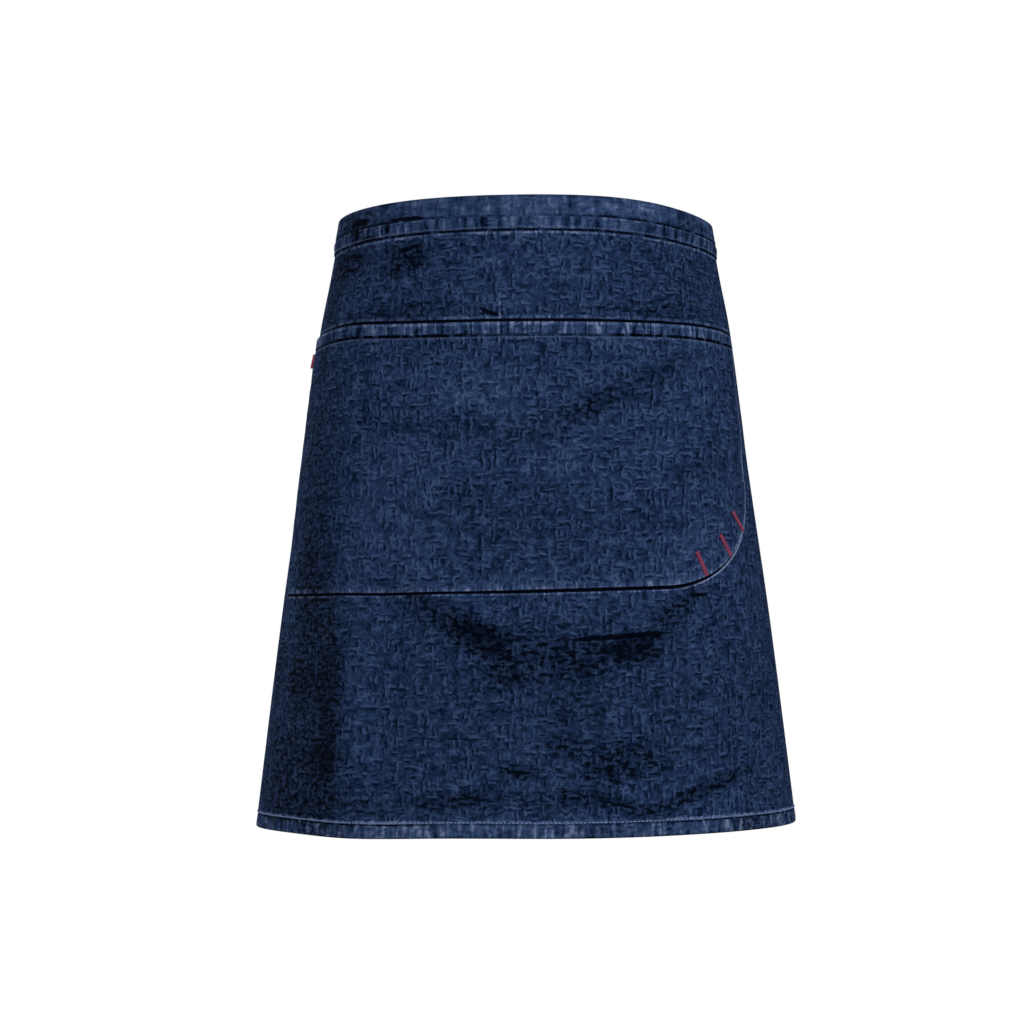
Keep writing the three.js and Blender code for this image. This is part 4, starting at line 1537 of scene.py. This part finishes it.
def make_tack(layout, tack, material):
    """A bar tack: satin thread back and forth across a bar that runs in from the rounded corner."""
    sizes = layout.sizes
    power = sizes.corner_fullness
    turn = math.radians(tack.turn)
    lean = math.radians(tack.lean)
    edge = np.array((
        layout.pocket_edge - sizes.corner_width * (1 - math.cos(turn) ** (2 / power)),
        layout.corner_top - sizes.corner_height * math.sin(turn) ** (2 / power),
    ))
    inward = np.array((-math.sin(lean), math.cos(lean)))
    sideways = np.array((-inward[1], inward[0]))
    passes = round(sizes.tack_length / SATIN_PITCH)
    sides = np.linspace(-0.5, 0.5, SATIN_POINTS)
    along, off = [], []
    for step in range(passes):
        way = 1 if step % 2 == 0 else -1
        along += list(sizes.tack_inset + (step + sides * SATIN_SLANT + 0.5) * SATIN_PITCH)
        off += list(way * sides * (sizes.tack_width - SATIN_WIDTH))
    along = np.array(along)
    off = np.array(off)
    uneven = 1.0 + SATIN_UNEVEN * waves(along, SATIN_PITCH * 1.7, TACK_SEED + tack.number)
    place = edge[:, None] + inward[:, None] * along + sideways[:, None] * off * uneven
    across, height = place
    crown = TACK_CROWN * (1.0 - (off / (sizes.tack_width / 2)) ** 2)
    face = pocket_inner_lift(layout, across, height) + sizes.denim + TACK_GAP
    path = FORM.cloth_points(across, height, face + crown)
    values = {"Thread width": SATIN_WIDTH, "Thread": material}
    sewn = sew(f"corner_tack_{tack.number}", [path], satin_tree(), values)
    settle(sewn, f"bar_tack_{tack.number}")


RIBBON_COLUMN = 0.0008
RIBBON_ROW = 0.0006
RIBBON_FULLNESS = 0.92
BEND_STEPS = 8
TAG_CURL = 0.0003
TAG_CURL_TURN = 1.5


def make_tag(layout, colours):
    """The tag: a short ribbon folded double, which stands out from the pocket's left edge."""
    sizes = layout.sizes
    half_gap = sizes.tag_thickness / 4
    half_layer = sizes.tag_thickness / 4 * RIBBON_FULLNESS
    straight = sizes.tag_length - sizes.tag_thickness / 2
    bend = math.pi * half_gap
    runs = grid_lines(
        (0.0, straight, RIBBON_COLUMN),
        (straight, straight + bend, bend / BEND_STEPS),
        (straight + bend, 2 * straight + bend, RIBBON_COLUMN),
    )
    ups = grid_lines((-sizes.tag_height / 2, sizes.tag_height / 2, RIBBON_ROW))
    run, up = np.meshgrid(runs, ups)
    angle = np.clip((run - straight) / half_gap, 0.0, math.pi)
    out = np.minimum(run, straight) - np.maximum(run - straight - bend, 0.0) + half_gap * np.sin(angle)
    side = half_gap * np.cos(angle)
    curl_turn = up / sizes.tag_height * math.pi * TAG_CURL_TURN
    curl = TAG_CURL * np.sin(curl_turn) * out / sizes.tag_length
    base_height = layout.pocket_mouth - sizes.tag_drop
    root_across = -layout.pocket_edge - sizes.tag_thickness
    root_lift = TACK_GAP + sizes.tag_thickness / 2

    def place(offset):
        out_here = out + offset * np.sin(angle)
        side_here = side + offset * np.cos(angle) + curl
        lean = sizes.tag_lean
        across = root_across - out_here * math.cos(lean) - side_here * math.sin(lean)
        lift = root_lift + out_here * math.sin(lean) - side_here * math.cos(lean)
        return across, base_height + up, lift

    faces = [place(-half_layer), place(half_layer)]
    material = ribbon_material(colours.ribbon)
    tag = closed_sheet("ribbon_tag", *faces, (run, up), {}, material)
    settle(tag, "side_tag")


def waist_round():
    """Length once round the form at the middle of the waistband."""
    half_width, half_depth, squareness, *_ = FORM.section_values(np.array([0.0]))
    angles = np.linspace(0.0, 2 * math.pi, FORM.turns)
    return float(FORM.chords(half_width[0], half_depth[0], squareness[0], angles).sum())


TIE_ROW_END = 0.003
TIE_ROW_SINK = 0.0001
TIE_WAVES = 0.006
TIE_ROW = 0.0008
TIE_EDGE = 0.0015
TIE_PUCKER = 0.00012
TIE_WEAR = 0.3
LAP_MARGIN = 0.004
CROSS_POINTS = 24


def make_tie(layout, colours):
    """The tie: a folded strap that laps behind the waistband's ends and goes round the back."""
    sizes = layout.sizes
    start = layout.panel_edge - sizes.tie_lap
    end = waist_round() - start
    edge_steps = np.array(EDGE_STEPS)
    half_width = sizes.tie_width / 2
    columns = grid_lines((start, end, COLUMN), start + edge_steps, end - edge_steps)
    rows = grid_lines((-half_width, half_width, TIE_ROW), edge_steps - half_width, half_width - edge_steps)
    across, height = np.meshgrid(columns, rows)
    to_edge = np.minimum(half_width - np.abs(height), np.minimum(across - start, end - across))
    half = sizes.tie_thickness / 2 * edge_fullness(to_edge, sizes.tie_thickness)
    outer_face = -sizes.denim - sizes.waistband_layer - sizes.slot_gap - 2 * TACK_GAP
    middle = outer_face - sizes.tie_thickness / 2
    seam = half_width - TIE_ROW_END
    near_edge = bell(np.abs(height), half_width - TIE_EDGE, TIE_EDGE)
    puckers = waves(across, TIE_WAVES, TIE_SEED) * near_edge
    groove = SEAM_GROOVE * 0.6 * bell(np.abs(height), seam, THIN_GROOVE_WIDTH)
    relief = TIE_PUCKER * puckers - groove
    faces = [(across, height, middle + half + relief), (across, height, middle - half - relief)]
    wear = TIE_WEAR * puckers
    none = np.zeros_like(wear)
    marks = {"fade": (none, none), "wear": (wear, wear), "inside": (none, none)}
    tie = closed_sheet("back_tie", *faces, (across, height), marks, tie_denim(colours))
    thread = thread_material("tie_thread", colours.seam_thread, THREAD_GLOSS)
    outer_row = outer_face - TIE_ROW_SINK
    inner_row = outer_face - sizes.tie_thickness + TIE_ROW_SINK
    first = start + TIE_ROW_END
    last = end - TIE_ROW_END
    rows = []
    for lift in (outer_row, inner_row):
        rows += [level_row(first, last, side * seam, lift) for side in (-1, 1)]
    lap = sizes.tie_lap - LAP_MARGIN
    slide = np.linspace(0.0, 1.0, CROSS_POINTS)
    for near, far in ((first, start + lap), (end - lap, last)):
        for place in (near, far):
            rows.append(upright_row(-seam, seam, place, inner_row))
        for slant in (-1, 1):
            crossing = near + (far - near) * slide
            rise = slant * seam * (1 - 2 * slide)
            rows.append(FORM.cloth_points(crossing, rise, inner_row))
    stitches = sew_stitches("tie_stitches", rows, sizes, thread)
    settle(tie, "waist_tie")
    settle(stitches)


# Stage
def make_floor(stage, colours):
    """A plain pale floor under the wearer's feet."""
    material, sheet = new_material("pale_floor")
    place = sheet.node("ShaderNodeTexCoord", None, None, output="Object")
    values = {"Vector": place, "Scale": 6.0, "Detail": 3.0}
    mottle = sheet.node("ShaderNodeTexNoise", None, values)
    base = sheet.mix(mottle, solid(darker(colours.floor, 0.98)), solid(colours.floor))
    finish_material(sheet, base, 0.9, mottle, 0.0002)
    reach = stage.floor_reach
    corners = [(-reach, -reach), (reach, -reach), (reach, reach), (-reach, reach)]
    mesh = bpy.data.meshes.new("studio_floor")
    mesh.from_pydata([(x, y, stage.floor_height) for x, y in corners], [], [(0, 1, 2, 3)])
    new_object("studio_floor", mesh, material)


def make_camera(stage):
    """The camera at the picture's viewing angle."""
    middle = PICTURE_SIDE / 2
    tilt = math.atan((stage.horizon_row - middle) / stage.focal_pixels)
    swing = math.atan((stage.axis_column - middle) / stage.focal_pixels)
    data = bpy.data.cameras.new("picture_camera")
    data.sensor_width = SENSOR_WIDTH
    data.lens = stage.focal_pixels * SENSOR_WIDTH / PICTURE_SIDE
    camera = bpy.data.objects.new("picture_camera", data)
    turn = stage.camera_turn
    distance = stage.camera_distance
    camera.location = (distance * math.sin(turn), -distance * math.cos(turn), stage.camera_height)
    camera.rotation_euler = (math.pi / 2 + tilt, 0.0, turn + swing)
    bpy.context.scene.collection.objects.link(camera)
    bpy.context.scene.camera = camera


class Lamp(NamedTuple):
    """A soft square light: its place, its side and the point it looks at."""
    name: str
    place: tuple
    side: float
    aim: tuple


KEY_LAMP = Lamp("key_light", (1.3, -1.9, 0.75), 1.1, (0.0, 0.0, -0.2))
FILL_LAMP = Lamp("fill_light", (-1.6, -1.6, 0.2), 1.6, (0.0, 0.0, -0.25))
RIM_LAMP = Lamp("rim_light", (-1.5, 0.5, -0.1), 0.8, (0.0, 0.0, -0.3))


def make_lamp(lamp, power):
    """A soft square light."""
    data = bpy.data.lights.new(lamp.name, "AREA")
    data.shape = "SQUARE"
    data.size = lamp.side
    data.energy = power
    light = bpy.data.objects.new(lamp.name, data)
    place = np.array(lamp.place)
    toward = np.array(lamp.aim) - place
    flat = math.hypot(toward[0], toward[1])
    light.location = lamp.place
    light.rotation_euler = (math.atan2(flat, -toward[2]), 0.0, math.atan2(-toward[0], toward[1]))
    bpy.context.scene.collection.objects.link(light)


def make_world(stage):
    """White behind the object, and a dim even light from all round."""
    world = bpy.data.worlds.new("studio_world")
    world.use_nodes = True
    sheet = NodeSheet(world.node_tree)
    seen = sheet.node("ShaderNodeLightPath", None, None, output="Is Camera Ray")
    white = (1.0, 1.0, 1.0, 1.0)
    around = sheet.node("ShaderNodeBackground", None, {"Color": white, "Strength": stage.ambient})
    behind = sheet.node("ShaderNodeBackground", None, {"Color": white, "Strength": 1.0})
    shader = sheet.node("ShaderNodeMixShader", None, {0: seen, 1: around, 2: behind})
    sheet.node("ShaderNodeOutputWorld", None, {"Surface": shader})
    bpy.context.scene.world = world


# Operators
def plan(context):
    """The layout and the colours of the scene's apron."""
    return Layout(context.scene.apron_sizes), context.scene.apron_colours


class APRON_OT_set_stage(bpy.types.Operator):
    """Set the camera, the lights, the white surround and the floor"""
    bl_idname = "apron.set_stage"
    bl_label = "Set stage"

    def execute(self, context):
        stage = context.scene.apron_stage
        context.scene.view_settings.view_transform = "Standard"
        make_camera(stage)
        make_lamp(KEY_LAMP, stage.key_power)
        make_lamp(FILL_LAMP, stage.fill_power)
        make_lamp(RIM_LAMP, stage.rim_power)
        make_world(stage)
        make_floor(stage, context.scene.apron_colours)
        return {"FINISHED"}


class APRON_OT_make_panel(bpy.types.Operator):
    """Make the denim panel with its turned hems and their stitches"""
    bl_idname = "apron.make_panel"
    bl_label = "Make panel"

    def execute(self, context):
        make_panel(*plan(context))
        return {"FINISHED"}


class APRON_OT_make_waistband(bpy.types.Operator):
    """Make the folded waistband with its rows of stitches"""
    bl_idname = "apron.make_waistband"
    bl_label = "Make waistband"

    def execute(self, context):
        make_waistband(*plan(context))
        return {"FINISHED"}


class APRON_OT_make_pocket(bpy.types.Operator):
    """Make the patch pocket with its hemmed mouth and rounded corner"""
    bl_idname = "apron.make_pocket"
    bl_label = "Make pocket"

    def execute(self, context):
        make_pocket(*plan(context))
        return {"FINISHED"}


class APRON_OT_make_tacks(bpy.types.Operator):
    """Make the three bar tacks round the pocket's corner"""
    bl_idname = "apron.make_tacks"
    bl_label = "Make bar tacks"

    def execute(self, context):
        layout, colours = plan(context)
        material = thread_material("crimson_thread", colours.tack_thread, TACK_GLOSS)
        for tack in TACKS:
            make_tack(layout, tack, material)
        return {"FINISHED"}


class APRON_OT_make_tag(bpy.types.Operator):
    """Make the plain ribbon tag at the pocket's left edge"""
    bl_idname = "apron.make_tag"
    bl_label = "Make tag"

    def execute(self, context):
        make_tag(*plan(context))
        return {"FINISHED"}


class APRON_OT_make_tie(bpy.types.Operator):
    """Make the tie round the back with its stitches"""
    bl_idname = "apron.make_tie"
    bl_label = "Make tie"

    def execute(self, context):
        make_tie(*plan(context))
        return {"FINISHED"}


OPERATORS = (
    APRON_OT_set_stage,
    APRON_OT_make_panel,
    APRON_OT_make_waistband,
    APRON_OT_make_pocket,
    APRON_OT_make_tacks,
    APRON_OT_make_tag,
    APRON_OT_make_tie,
)


class APRON_PT_sidebar(bpy.types.Panel):
    """Sizes, colours and makers of the apron"""
    bl_idname = "APRON_PT_sidebar"
    bl_label = "Bar apron"
    bl_space_type = "VIEW_3D"
    bl_region_type = "UI"
    bl_category = "Apron"

    def draw(self, context):
        for group in (context.scene.apron_sizes, context.scene.apron_colours, context.scene.apron_stage):
            box = self.layout.box()
            for name in group.__annotations__:
                box.prop(group, name)
        for operator in OPERATORS:
            self.layout.operator(operator.bl_idname)


GROUPS = {"apron_sizes": ApronSizes, "apron_colours": ApronColours, "apron_stage": StageSizes}
CLASSES = (*GROUPS.values(), *OPERATORS, APRON_PT_sidebar)


def register():
    """Registers the classes and hangs the property groups on the scene."""
    for made in CLASSES:
        bpy.utils.register_class(made)
    for name, group in GROUPS.items():
        setattr(bpy.types.Scene, name, PointerProperty(type=group))


def unregister():
    """Undoes register."""
    for name in GROUPS:
        delattr(bpy.types.Scene, name)
    for made in reversed(CLASSES):
        bpy.utils.unregister_class(made)


def main():
    """Makes the stage and every piece."""
    register()
    for operator in OPERATORS:
        group, name = operator.bl_idname.split(".")
        getattr(getattr(bpy.ops, group), name)()


if __name__ == "__main__":
    main()
